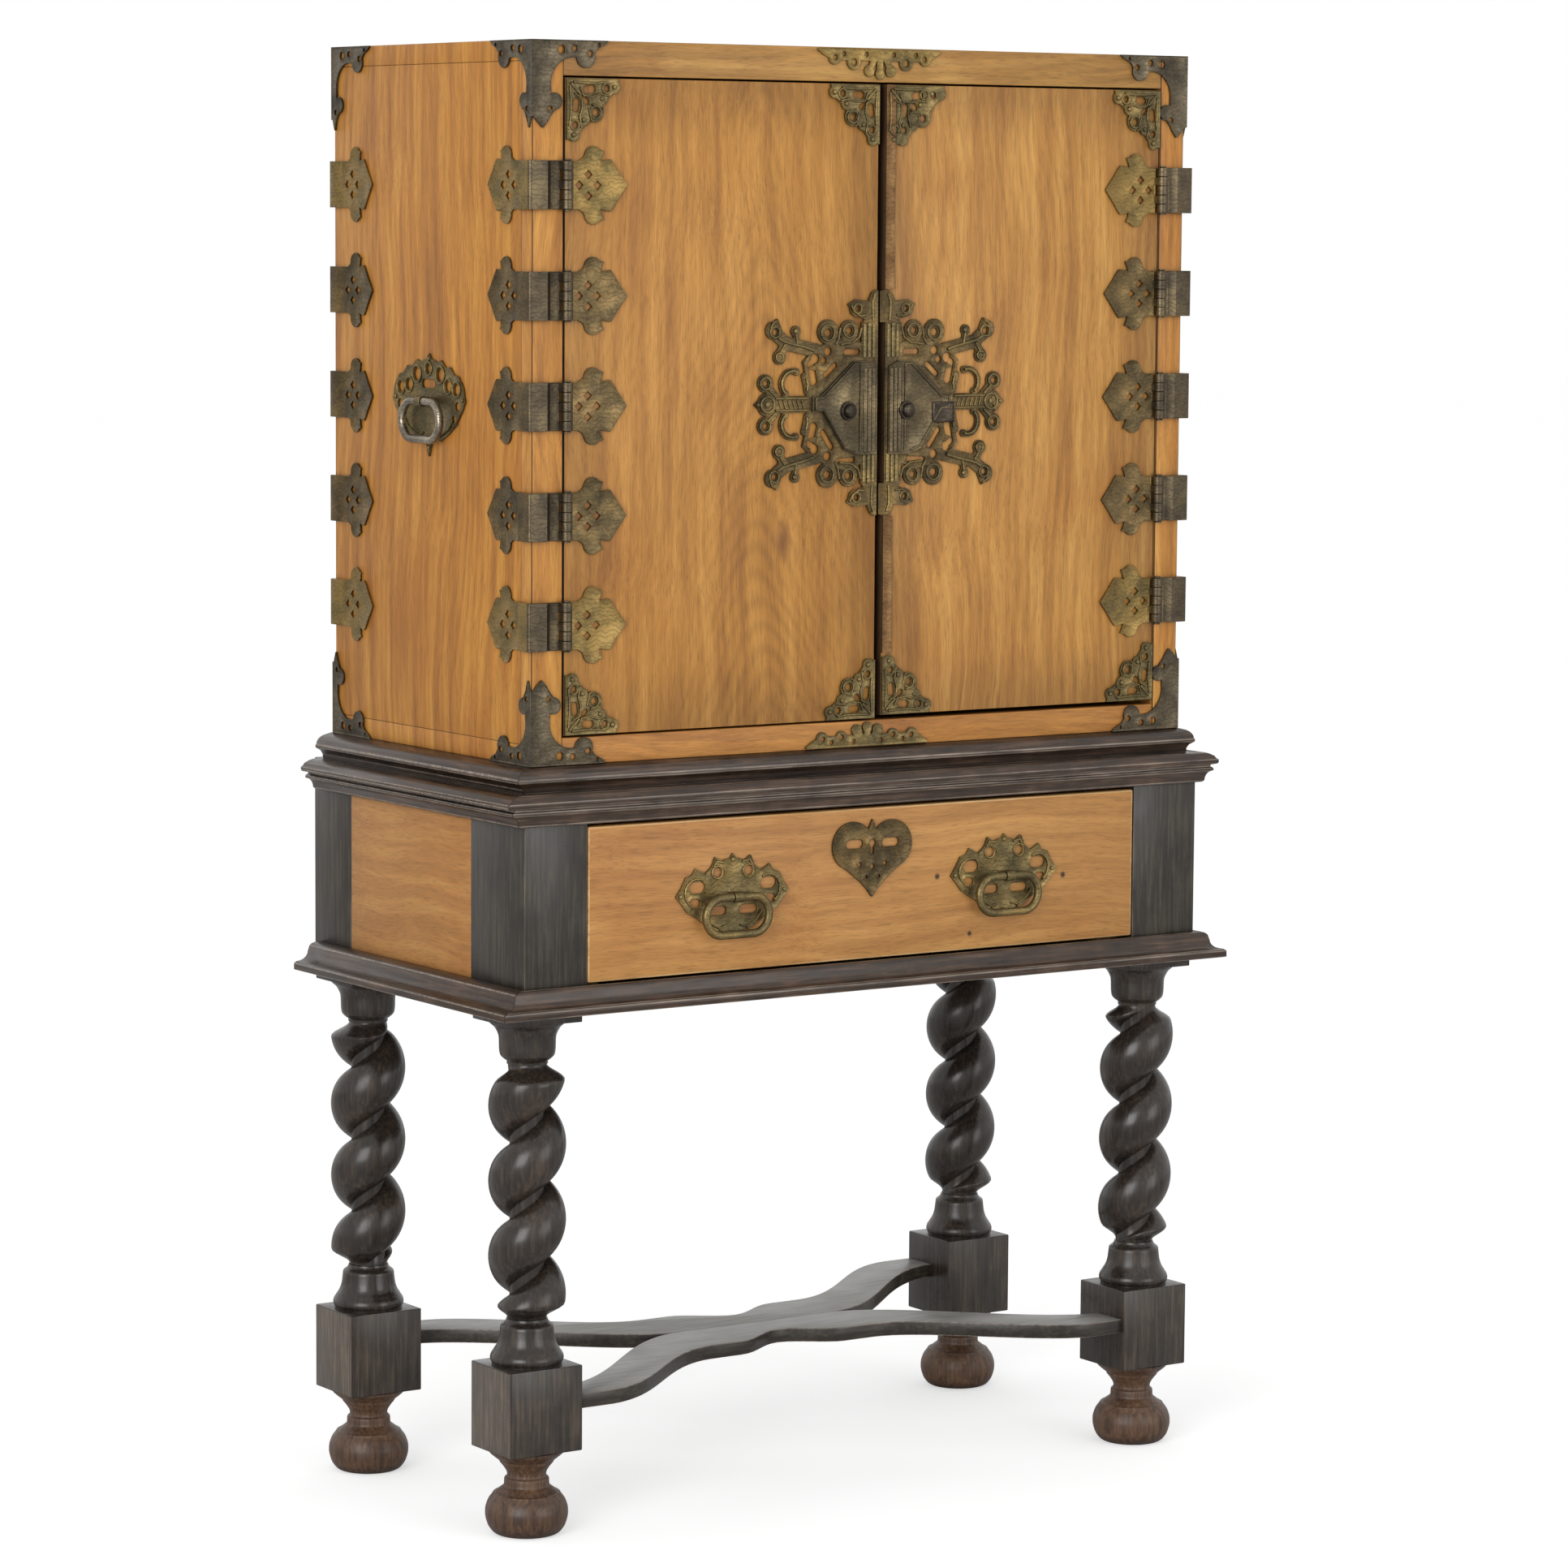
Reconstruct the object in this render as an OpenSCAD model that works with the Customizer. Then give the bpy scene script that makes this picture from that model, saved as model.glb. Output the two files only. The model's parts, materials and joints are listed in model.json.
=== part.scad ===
// Cabinet on stand: a two-door case on a stand with one drawer, barley-twist legs and a serpentine
// stretcher. All sizes are in millimetres. X runs to the right of the front, -Y faces the viewer and Z is
// up from the floor.

/* [Case] */
// Width of the case
case_w = 860; // [780:10:940]
// Depth of the case
case_d = 425; // [380:5:470]
// Height of the case
case_h = 763; // [700:1:820]
// Thickness of the case's sides, top and bottom
board_t = 22; // [16:1:26]
// Thickness of the front frame of stiles and rails
frame_t = 22; // [18:1:26]
// Width of the left front stile
stile_l_w = 38; // [36:1:60]
// Width of the right front stile
stile_r_w = 33; // [33:1:60]
// Height of the top rail
rail_top_h = 37; // [34:1:60]
// Height of the bottom rail
rail_bot_h = 29; // [28:1:50]
// Thickness of the back
back_t = 12; // [8:1:16]
// Distance of the back in from the sides' back edges
back_inset = 3; // [1:1:8]
// Thickness of the shelves
shelf_t = 18; // [12:1:24]
// Distance of the shelves' front edges behind the front frame
shelf_setback = 26; // [22:1:60]
// Height of each shelf batten
batten_h = 24; // [15:1:40]
// Thickness of each shelf batten
batten_t = 14; // [8:1:24]

/* [Doors] */
// Gap all round each door
door_gap = 2; // [1.5:0.5:3]
// Extra gap under the right door, which hangs a little high
door_r_lift = 3; // [0:0.5:5]
// Gap between the two doors
meet_gap = 9; // [6:1:12]
// Distance of the gap's middle to the right of the case's middle
meet_x = 14.5; // [-20:0.5:20]
// Width of the brass strip on the right door's meeting edge
strip_w = 12; // [8:1:20]

/* [Hinges] */
// Hinges on each door
hinge_n = 5; // [3:1:6]
// Spacing of the hinges
hinge_pitch = 116; // [100:1:125]
// Height of the middle of the hinge row above the case's bottom
hinge_mid = 380; // [360:5:400]
// Height of the hinge straps
leaf_h = 51; // [46:1:60]
// Thickness of the hinge leaves
leaf_t = 2.8; // [2:0.2:4]
// Reach of the door leaf from the pin to its point
leaf_len = 77; // [70:1:95]
// Reach of the case leaf along the side from the front
side_leaf_len = 88; // [80:1:110]
// Radius of the hinge pins
pin_r = 2.5; // [2:0.1:3]
// Outer radius of the hinge knuckles
knuckle_r = 6.2; // [5.5:0.1:7]
// How far the raised corner of each front strap stands proud
clasp_proud = 8.5; // [5:0.5:10]
// Width of that raised corner on each face
clasp_w = 18; // [12:1:24]
// How far the raised corner of each back strap stands proud
back_clasp_proud = 5; // [4:0.5:8]

/* [Mounts] */
// Thickness of the flat brass mounts
mount_t = 3; // [2:0.2:4]
// Reach of the case's corner mounts along the top and bottom
corner_arm = 92; // [80:1:110]
// Reach of the case's corner mounts down and up the corners
corner_drop = 92; // [80:1:110]
// Size of the door corner mounts
door_mount = 68; // [56:1:80]
// Width of the middle mounts on the rails
centre_mount_w = 164; // [130:2:190]
// Width of each half of the lock plate, out from the gap
lock_w = 162; // [150:1:180]
// Height of the lock plate
lock_h = 188; // [170:1:210]
// Height of the lock's middle above the case's bottom
lock_mid = 378; // [350:1:410]
// How far the bosses of the lock plate stand out
boss_t = 7; // [4:0.5:10]

/* [Lock] */
// Width of the lock's case
lock_case_w = 105; // [80:1:120]
// Height of the lock's case
lock_case_h = 78; // [60:1:100]
// Thickness of the lock's case
lock_case_t = 17; // [14:1:20]
// Height of the bolt
bolt_h = 20; // [14:1:26]
// Thickness of the bolt
bolt_t = 8; // [6:0.5:9]
// Throw of the bolt
bolt_throw = 18; // [14:1:20]

/* [Handles] */
// Width of the drop handles
bail_w = 90; // [76:1:100]
// Height of the drop handles
bail_h = 50; // [44:1:60]
// Radius of the handles' bar
bail_r = 4.5; // [3.5:0.5:5]
// Radius of the pivot in the middle of the handles' top bar
pivot_r = 3; // [2:0.25:3]
// Distance of the handles' pivot from the face
bail_proud = 12.5; // [11:0.5:16]
// Distance of the drawer handles apart
handle_pitch = 363; // [300:1:420]
// Width of the drawer handle plates
handle_plate_w = 146; // [130:1:160]
// Width of the side handle plates
side_plate_w = 156; // [140:1:170]

/* [Case base] */
// Height of the moulding that the case stands on
base_h = 28; // [22:1:36]
// Reach of that moulding beyond the case's sides
base_out_side = 22.5; // [16:0.5:28]
// Reach of that moulding beyond the case's front and back
base_out_front = 10; // [8:0.5:16]

/* [Stand] */
// Width of the stand over its posts
stand_w = 896; // [880:2:980]
// Depth of the stand over its posts
stand_d = 459; // [440:1:520]
// Height of the stand's top moulding
top_h = 34; // [28:1:40]
// Reach of the top moulding beyond the posts at the sides
top_out_side = 26; // [18:0.5:32]
// Reach of the top moulding in front of the posts
top_out_front = 10.5; // [8:0.5:18]
// Thickness of the stand's top board
top_t = 22; // [18:1:26]
// Height of the frieze between the mouldings
frieze_h = 173; // [150:1:200]
// Height of the bottom moulding
bot_h = 30; // [26:1:36]
// Reach of the bottom moulding beyond the posts at the sides
bot_out_side = 35.5; // [28:0.5:42]
// Reach of the bottom moulding in front of the posts
bot_out_front = 18.5; // [14:0.5:24]
// Distance that the stand's mouldings stop short of its back
mould_short = 14.5; // [0:0.5:30]
// Thickness of the stand's floor board
floor_t = 22; // [20:1:24]
// Width of the front posts, seen from the front
post_w = 83; // [75:1:100]
// Depth of the front posts, seen from the side
post_d = 112; // [90:1:120]
// Depth of the back posts, seen from the side
back_post_d = 84; // [70:1:100]
// Thickness of the end panels and the back panel
panel_t = 20; // [14:1:24]

/* [Drawer] */
// Distance of the drawer's middle to the left of the stand's middle
drawer_off = 5.5; // [0:0.5:12]
// Thickness of the drawer's front
drawer_front_t = 24; // [18:1:28]
// Thickness of the drawer's sides and back
drawer_side_t = 12; // [8:1:16]
// Thickness of the drawer's bottom
drawer_bot_t = 8; // [6:1:12]
// Free space behind the closed drawer
drawer_back_gap = 31; // [20:1:60]
// Gap round the drawer's front
drawer_gap = 1; // [0.5:0.25:2]

/* [Legs] */
// Distance of each leg's axis in from the posts' outer face, seen from the front
leg_in_x = 37; // [30:1:48]
// Distance of each leg's axis in from the posts' outer face, seen from the side
leg_in_y = 55.5; // [50:0.5:64]
// Width of the legs' square blocks
block_w = 90; // [84:1:100]
// Depth of the legs' square blocks
block_d = 84; // [80:1:92]
// Height of the square blocks
block_h = 94; // [80:1:110]
// Height of the feet
foot_h = 93; // [85:1:105]
// Radius of the round feet
foot_r = 45; // [40:1:48]
// Height of the cup turned above each block
cup_h = 50; // [44:1:60]
// Height of the twist
twist_h = 276; // [240:1:310]
// Height of the drum and cove above the twist
drum_h = 47; // [42:1:56]
// Thickness of the square cap on each leg
cap_t = 12; // [8:1:16]
// Width of the square cap
cap_w = 87; // [86:1:96]
// Climb of the twist in one turn
twist_pitch = 82; // [74:1:92]
// Outer radius of the twist
twist_r = 42; // [36:0.5:43]
// Radius at the bottom of the twist's groove
groove_r = 19; // [16:0.5:24]
// Radius of the dowels that join feet, legs and stand
dowel_r = 12; // [8:0.5:16]
// Length of those dowels
dowel_len = 18; // [10:1:20]

/* [Stretcher] */
// Thickness of the stretcher
stretcher_t = 16; // [12:1:22]
// Height of the stretcher's underside above the blocks' undersides
stretcher_up = 45; // [20:1:70]
// Half width of the stretcher in its middle
waist = 46; // [36:1:60]
// Half width of the stretcher's shoulders beside the middle
shoulder = 79; // [60:1:90]
// Distance from the middle to the crotch between the arms
crotch_x = 96; // [70:1:130]
// Width of the stretcher's arms at the blocks
arm_end_w = 44; // [34:1:56]
// Length of the tenons in the blocks
tenon_len = 25; // [15:1:35]

/* [Hidden] */

OAK = [0.72, 0.53, 0.31];
OAK_DARK = [0.58, 0.40, 0.22];
EBONISED = [0.24, 0.21, 0.19];
BROWN = [0.35, 0.23, 0.17];
BRASS = [0.48, 0.44, 0.29];
IRON = [0.30, 0.30, 0.30];

// Clearances
slip = 0.3;
running = 0.08;
seam = 0.4;

// Levels
block_z = foot_h;
cup_z = block_z + block_h;
twist_z = cup_z + cup_h;
drum_z = twist_z + twist_h;
cap_z = drum_z + drum_h;
floor_z = cap_z + cap_t;
frieze_z = floor_z + bot_h;
frieze_top = frieze_z + frieze_h;
stand_top_z = frieze_top + top_h;
case_z = stand_top_z + base_h;
case_top_z = case_z + case_h;
board_top_z = floor_z + floor_t;
board_under_z = stand_top_z - top_t;

// The deepest lip and the posts' backs lie equally far from the frame's middle
lip_y = stand_d / 2 + bot_out_front;
mid_y = (lip_y - stand_d / 2) / 2;

// Case
front_y = -case_d / 2;
frame_y = front_y + frame_t;
side_x = case_w / 2;
open_l = -side_x + stile_l_w;
open_r = side_x - stile_r_w;
door_top = case_top_z - rail_top_h - door_gap;
door_l_bot = case_z + rail_bot_h + door_gap;
door_r_bot = door_l_bot + door_r_lift;
door_l_x0 = open_l + door_gap;
door_l_x1 = meet_x - meet_gap / 2;
door_r_x0 = meet_x + meet_gap / 2;
door_r_x1 = open_r - door_gap;
back_y = case_d / 2 - back_inset - back_t;
shelf_y = frame_y + shelf_setback;
inner_h = case_h - 2 * board_t;

// Hinges
pin_y = front_y - knuckle_r - 0.6;
pin_l_x = open_l + door_gap / 2;
pin_r_x = open_r - door_gap / 2;
bore_r = pin_r + running;
leaf_start = knuckle_r + 1;
knuckle_n = 5;
knuckle_h = leaf_h / knuckle_n;
hinge_z0 = case_z + hinge_mid - (hinge_n - 1) / 2 * hinge_pitch;
lock_z = case_z + lock_mid;

// Frieze and drawer
post_x = stand_w / 2;
bay_l = -post_x + post_w - drawer_off;
bay_r = post_x - post_w - drawer_off;
post_y = stand_d / 2;
panel_inset = 4;
drawer_mid = (bay_l + bay_r) / 2;
drawer_bot = frieze_z + 1.7;
drawer_top = frieze_top - 3.7;
drawer_box_top = frieze_top - 20;
bail_z = drawer_bot + 82;
side_bail_z = lock_z + 1;

// Stretcher
stretcher_z = block_z + stretcher_up;
leg_span_x = stand_w - 2 * leg_in_x;
leg_span_y = stand_d - 2 * leg_in_y;
block_in_x = leg_span_x / 2 - block_w / 2;
arm_out_y = leg_span_y / 2 + block_d / 2 - 4;
arm_in_y = arm_out_y - arm_end_w;

module place() {
    translate([0, mid_y, 0]) children();
}

module box(x0, x1, y0, y1, z0, z1) {
    translate([x0, y0, z0]) cube([x1 - x0, y1 - y0, z1 - z0]);
}

// Flat shapes: drawn in the plane of a face, x along the face and y up
module on_front(y, t) {
    translate([0, y, 0]) rotate([90, 0, 0]) linear_extrude(t) children();
}

module on_left(x, t) {
    translate([x, 0, 0]) rotate([90, 0, -90]) linear_extrude(t) children();
}

module on_right(x, t) {
    translate([x, 0, 0]) rotate([90, 0, 90]) linear_extrude(t) children();
}

module mirror_x() {
    children();
    mirror([1, 0, 0]) children();
}

module mirror_y() {
    children();
    mirror([0, 1, 0]) children();
}

// A bar of a given width between two points, with round ends a little wider than the bar
module link(a, b, w) {
    len = norm(b - a);
    turn = atan2(b[1] - a[1], b[0] - a[0]);
    knob_d = 1.06 * w;
    translate(a) rotate(turn) translate([0, -w / 2]) square([len, w]);
    translate(a) circle(d = knob_d, $fn = 24);
    translate(b) circle(d = knob_d, $fn = 24);
}

// Part of a flat ring, from angle a0 over a span of less than 180 degrees, with a knob at each end
module arc_band(r, w, a0, span) {
    far = 2 * r + 2 * w;
    difference() {
        intersection() {
            circle(r = r + w / 2, $fn = 48);
            polygon([[0, 0], far * [cos(a0), sin(a0)], far * [cos(a0 + span / 2), sin(a0 + span / 2)],
                     far * [cos(a0 + span), sin(a0 + span)]]);
        }
        circle(r = r - w / 2, $fn = 48);
    }
    for (a = [a0, a0 + span]) translate(r * [cos(a), sin(a)]) circle(r = 0.66 * w, $fn = 24);
}

// Case

module case_bottom() {
    color(OAK) place() box(-side_x, side_x, frame_y, case_d / 2, case_z, case_z + board_t);
}

module case_top() {
    color(OAK) place() box(-side_x, side_x, frame_y, case_d / 2, case_top_z - board_t, case_top_z);
}

module case_side(sign) {
    x = sign < 0 ? -side_x : side_x - board_t;
    color(OAK) place()
        box(x, x + board_t, frame_y, case_d / 2, case_z + board_t, case_top_z - board_t);
}

module case_side_left() case_side(-1);
module case_side_right() case_side(1);

module case_back() {
    color(OAK_DARK) place()
        box(-side_x + board_t, side_x - board_t, back_y, back_y + back_t,
            case_z + board_t, case_top_z - board_t);
}

module case_stile_left() {
    color(OAK) place() box(-side_x, open_l, front_y, frame_y, case_z, case_top_z);
}

module case_stile_right() {
    color(OAK) place() box(open_r, side_x, front_y, frame_y, case_z, case_top_z);
}

module case_rail_top() {
    color(OAK) place() box(open_l, open_r, front_y, frame_y, case_top_z - rail_top_h, case_top_z);
}

module case_rail_bottom() {
    color(OAK) place() box(open_l, open_r, front_y, frame_y, case_z, case_z + rail_bot_h);
}

shelf_count = 2;
function shelf_under(i) = case_z + board_t + (i + 1) * inner_h / (shelf_count + 1);

module shelves() {
    color(OAK_DARK) place()
        for (i = [0 : shelf_count - 1])
            box(-side_x + board_t, side_x - board_t, shelf_y, back_y, shelf_under(i),
                shelf_under(i) + shelf_t);
}

module shelf_battens() {
    color(OAK_DARK) place() mirror_x()
        for (i = [0 : shelf_count - 1])
            box(-side_x + board_t, -side_x + board_t + batten_t, shelf_y, back_y,
                shelf_under(i) - batten_h, shelf_under(i));
}

// Mouldings. A profile's x is a share of its reach beyond the face, its y is in millimetres from its
// underside

function base_profile(h) = [
    [-1, 0], [0.58, 0], [0.6, 0.16 * h], [0.72, 0.3 * h], [1, 0.42 * h], [1, 0.53 * h],
    for (a = [0 : 15 : 75]) [0.2 + 0.75 * cos(a), 0.56 * h + 0.4 * h * sin(a)],
    [0.1, h], [-1, h]
];

function top_profile(h) = [
    [0, 0], [0.3, 0], [0.36, 0.03 * h],
    for (a = [0 : 18 : 90]) [0.78 - 0.38 * cos(a), 0.05 * h + 0.33 * h * sin(a)],
    [0.78, 0.47 * h], [0.64, 0.53 * h], [0.66, 0.58 * h], [0.95, 0.61 * h], [1, 0.66 * h],
    [1, 0.76 * h], [0.9, 0.8 * h], [0.82, 0.88 * h], [0.6, 0.96 * h], [0.4, h], [0, h]
];

function bottom_profile(h) = [
    [0, 0], [1, 0], [1, 0.25 * h], [0.95, 0.29 * h],
    for (a = [0 : 18 : 90]) [0.5 + 0.4 * (1 - sin(a)), 0.32 * h + 0.36 * h * (1 - cos(a))],
    [0.48, 0.74 * h], [0.44, 0.88 * h], [0.36, 0.95 * h], [0.22, h], [0, h]
];

// The plan that cuts a front run to its mitres: k0 and k1 are shares of the reach
module front_plan(w, d, ox, oy, k0, k1) {
    polygon([[-w / 2 - k0 * ox, -d / 2 - k0 * oy], [w / 2 + k0 * ox, -d / 2 - k0 * oy],
             [w / 2 + k1 * ox, -d / 2 - k1 * oy], [-w / 2 - k1 * ox, -d / 2 - k1 * oy]]);
}

module end_plan(w, d, ox, oy, k0, k1, y_end) {
    polygon([[w / 2 + k0 * ox, -d / 2 - k0 * oy], [w / 2 + k1 * ox, -d / 2 - k1 * oy],
             [w / 2 + k1 * ox, y_end], [w / 2 + k0 * ox, y_end]]);
}

module front_run(profile, w, d, ox, oy, k0, h) {
    intersection() {
        translate([0, -d / 2, 0]) rotate([90, 0, -90])
            linear_extrude(w + 4 * ox, center = true) polygon([for (p = profile) [p[0] * oy, p[1]]]);
        translate([0, 0, -h]) linear_extrude(3 * h) front_plan(w, d, ox, oy, k0, 1.5);
    }
}

module end_run(profile, w, d, ox, oy, k0, h, y_end) {
    intersection() {
        translate([w / 2, 0, 0]) rotate([90, 0, 0])
            linear_extrude(2 * d, center = true) polygon([for (p = profile) [p[0] * ox, p[1]]]);
        translate([0, 0, -h]) linear_extrude(3 * h) end_plan(w, d, ox, oy, k0, 1.5, y_end);
    }
}

module case_moulding_front() {
    color(EBONISED) place() translate([0, 0, stand_top_z])
        front_run(base_profile(base_h), case_w, case_d, base_out_side, base_out_front, -1.5, base_h);
}

module case_moulding_ends() {
    color(EBONISED) place() translate([0, 0, stand_top_z]) mirror_x()
        end_run(base_profile(base_h), case_w, case_d, base_out_side, base_out_front, -1.5, base_h,
                case_d / 2 + base_out_front - 2.5);
}

module case_plinth_back() {
    x = side_x - base_out_side;
    color(EBONISED) place() box(-x, x, case_d / 2 - base_out_side, case_d / 2, stand_top_z, case_z);
}

// Doors

module door_left() {
    color(OAK) place() box(door_l_x0, door_l_x1, front_y, frame_y, door_l_bot, door_top);
}

module door_right() {
    color(OAK) place() box(door_r_x0, door_r_x1, front_y, frame_y, door_r_bot, door_top);
}

module meeting_strip() {
    reach = lock_h / 2 - 6 + finial_h + 0.5;
    color(BRASS) place() {
        box(door_r_x0, door_r_x0 + strip_w, front_y - mount_t, front_y,
            door_r_bot + door_mount + 1, lock_z - reach);
        box(door_r_x0, door_r_x0 + strip_w, front_y - mount_t, front_y, lock_z + reach, door_top);
    }
}

// Lock plates

finial_h = 36;
finial_w = 40;

// One half of the pierced lock plate: the gap's edge at x = 0, reaching along +x, its middle at y = 0
module lock_half() {
    top = lock_h / 2;
    end = lock_w;
    difference() {
        union() {
            translate([0, 6 - top]) square([22, 2 * top - 12]);
            polygon([[20, top - 28], [48, top - 22], [80, top - 32], [99, top - 48], [93, 22], [93, -22],
                     [99, 48 - top], [80, 32 - top], [48, 22 - top], [20, 28 - top]]);
            for (s = [-1, 1]) {
                // Lobes of the crest
                translate([11, s * (top - 9)]) circle(r = 9.5, $fn = 32);
                translate([38, s * (top - 15)]) circle(r = 12, $fn = 32);
                translate([66, s * (top - 16)]) circle(r = 13.5, $fn = 32);
                // Leaf towards the corner
                link([82, s * (top - 36)], [120, s * (top - 28)], 15);
                link([120, s * (top - 28)], [end - 27, s * (top - 17)], 15);
                translate([end - 25, s * (top - 14)]) circle(r = 10, $fn = 32);
                polygon([[end - 36, s * (top - 14)], [end - 30, s * (top - 1)],
                         [end - 19, s * (top - 9)]]);
                link([122, s * (top - 28)], [end - 32, s * (top - 42)], 10);
                translate([end - 33, s * (top - 43)]) circle(r = 8, $fn = 32);
                link([106, s * (top - 31)], [108, s * (top - 17)], 7);
                translate([108, s * (top - 15)]) circle(r = 6, $fn = 32);
                // Scrolls beside the side finial
                translate([112, s * 22]) arc_band(14, 6.5, s > 0 ? -50 : -110, 160);
                link([96, s * 30], [92, s * 14], 8);
                link([end - 28, s * 8], [end - 17, s * 20], 10);
                translate([end - 15, s * 23]) circle(r = 10, $fn = 32);
            }
            // Side finial
            link([86, 0], [end - 20, 0], 18);
            translate([end - 18, 0]) circle(r = 13, $fn = 32);
            polygon([[end - 16, 13], [end, 0], [end - 16, -13]]);
        }
        for (s = [-1, 1]) {
            translate([38, s * (top - 15)]) circle(r = 4, $fn = 24);
            translate([66, s * (top - 17)]) circle(r = 4.5, $fn = 24);
            translate([83, s * (top - 45)]) circle(r = 5.5, $fn = 24);
            link([88, s * (top - 51)], [84.5, s * (top - 69)], 9.5);
            translate([66, s * (top - 37)]) circle(r = 5, $fn = 24);
            translate([end - 27, s * (top - 16)]) circle(r = 3.5, $fn = 24);
            translate([end - 15, s * 23]) circle(r = 3.5, $fn = 24);
        }
        // Openings along the boss, longer below it than above
        link([27, 56], [42, 56], 6.5);
        link([57, 41.5], [68.5, 31.5], 6.5);
        translate([71.5, 47]) circle(r = 4, $fn = 24);
        link([32, -61.5], [52, -62.5], 5.5);
        link([61, -47], [72, -31], 6.5);
    }
}

// A half of the fleur finial that ends the plate: the gap's edge at x = 0, standing up from y = 0
module finial_half(bridge) {
    polygon([[-bridge, 0], [8, 0], [13, 12], [12, 26], [8, finial_h - 3], [2, finial_h],
             [-bridge, finial_h - 2]]);
    difference() {
        union() {
            translate([finial_w - 12, 15]) circle(r = 9, $fn = 32);
            polygon([[2, 6], [16, 3], [finial_w - 8, 8], [finial_w, 20], [finial_w - 10, 25], [10, 23]]);
        }
        translate([finial_w - 13, 15]) circle(r = 3, $fn = 24);
    }
}

// The raised half lozenge with its round knob
module boss_half() {
    polygon([[3, 40], [16, 46], [34, 46], [78, 8], [88, 8], [88, -8], [74, -8], [46, -50], [30, -56],
             [3, -56]]);
}

module lock_plate(x, sign, bridge, knob_x) {
    color(BRASS) place() translate([x, 0, lock_z]) flip_x(sign) {
        on_front(front_y, mount_t) {
            lock_half();
            translate([0, lock_h / 2 - 6]) finial_half(bridge);
            mirror([0, 1]) translate([0, lock_h / 2 - 6]) finial_half(bridge);
        }
        on_front(front_y - mount_t + 0.01, boss_t - mount_t) boss_half();
        translate([knob_x, front_y - boss_t + 0.01, -8]) rotate([90, 0, 0]) {
            cylinder(r = 10, h = 3, $fn = 48);
            translate([0, 0, 3]) intersection() {
                sphere(r = 8, $fn = 48);
                translate([-8, -8, -0.5]) cube([16, 16, 6]);
            }
        }
    }
}

module flip_x(sign) {
    if (sign < 0) mirror([1, 0, 0]) children();
    else children();
}

module lock_plate_left() lock_plate(door_l_x1 - 0.5, -1, 0, 42);
module lock_plate_right() lock_plate(door_r_x0, 1, meet_gap - 2, 26);

// Lock on the back of the right door

module lock_case() {
    x0 = door_r_x0 + 0.5;
    slot_t = bolt_t + 2 * slip;
    slot_y = frame_y + (lock_case_t - slot_t) / 2;
    color(IRON) place() difference() {
        box(x0, x0 + lock_case_w, frame_y, frame_y + lock_case_t,
            lock_z - lock_case_h / 2, lock_z + lock_case_h / 2);
        box(x0 - 1, x0 + lock_case_w - 8, slot_y, slot_y + slot_t,
            lock_z - bolt_h / 2 - slip, lock_z + bolt_h / 2 + slip);
    }
}

module lock_bolt() {
    x0 = door_r_x0 + 1;
    y0 = frame_y + (lock_case_t - bolt_t) / 2;
    color(IRON) place()
        box(x0, x0 + lock_case_w - 12, y0, y0 + bolt_t, lock_z - bolt_h / 2, lock_z + bolt_h / 2);
}

// The staple on the back of the left door that the bolt enters
module lock_keeper() {
    wall = 4;
    x1 = door_l_x1 - 0.5;
    x0 = x1 - bolt_throw - wall;
    lug = 6;
    slot_h = bolt_h + 2;
    slot_t = bolt_t + 2;
    slot_y = frame_y + (lock_case_t - slot_t) / 2;
    color(IRON) place() difference() {
        box(x0, x1, frame_y, slot_y + slot_t + 3, lock_z - slot_h / 2 - lug, lock_z + slot_h / 2 + lug);
        box(x0 + wall, x1 + 1, slot_y, slot_y + slot_t, lock_z - slot_h / 2, lock_z + slot_h / 2);
    }
}

// Corner mounts of the doors: the corner at the origin, arms along +x and +y
module door_corner_shape() {
    s = door_mount;
    difference() {
        union() {
            polygon([[0, 0], [0.95 * s, 0], [0.88 * s, 0.2 * s], [0.7 * s, 0.34 * s], [0.56 * s, 0.56 * s],
                     [0.34 * s, 0.7 * s], [0.2 * s, 0.88 * s], [0, 0.95 * s]]);
            translate([0.51 * s, 0.51 * s]) circle(r = 0.16 * s, $fn = 32);
            translate([0.31 * s, 0.64 * s]) circle(r = 0.1 * s, $fn = 32);
            translate([0.64 * s, 0.31 * s]) circle(r = 0.1 * s, $fn = 32);
            translate([0.13 * s, 0.87 * s]) circle(r = 0.1 * s, $fn = 32);
            translate([0.87 * s, 0.13 * s]) circle(r = 0.1 * s, $fn = 32);
        }
        translate([0.52 * s, 0.52 * s]) circle(r = 0.06 * s, $fn = 24);
        for (a = [0, 1]) mirror([a, -a]) {
            translate([0.72 * s, 0.15 * s]) circle(r = 0.055 * s, $fn = 24);
            link([0.46 * s, 0.16 * s], [0.36 * s, 0.17 * s], 0.12 * s);
        }
        link([0.3 * s, 0.3 * s], [0.36 * s, 0.36 * s], 0.09 * s);
    }
}

module door_mounts_left() {
    inset = 0.5;
    color(BRASS) place() on_front(front_y, mount_t) {
        translate([door_l_x0 + inset, door_l_bot + inset]) door_corner_shape();
        translate([door_l_x1 - inset, door_l_bot + inset]) mirror([1, 0]) door_corner_shape();
        translate([door_l_x0 + inset, door_top - inset]) mirror([0, 1]) door_corner_shape();
        translate([door_l_x1 - inset, door_top - inset]) mirror([1, 0]) mirror([0, 1]) door_corner_shape();
    }
}

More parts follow.
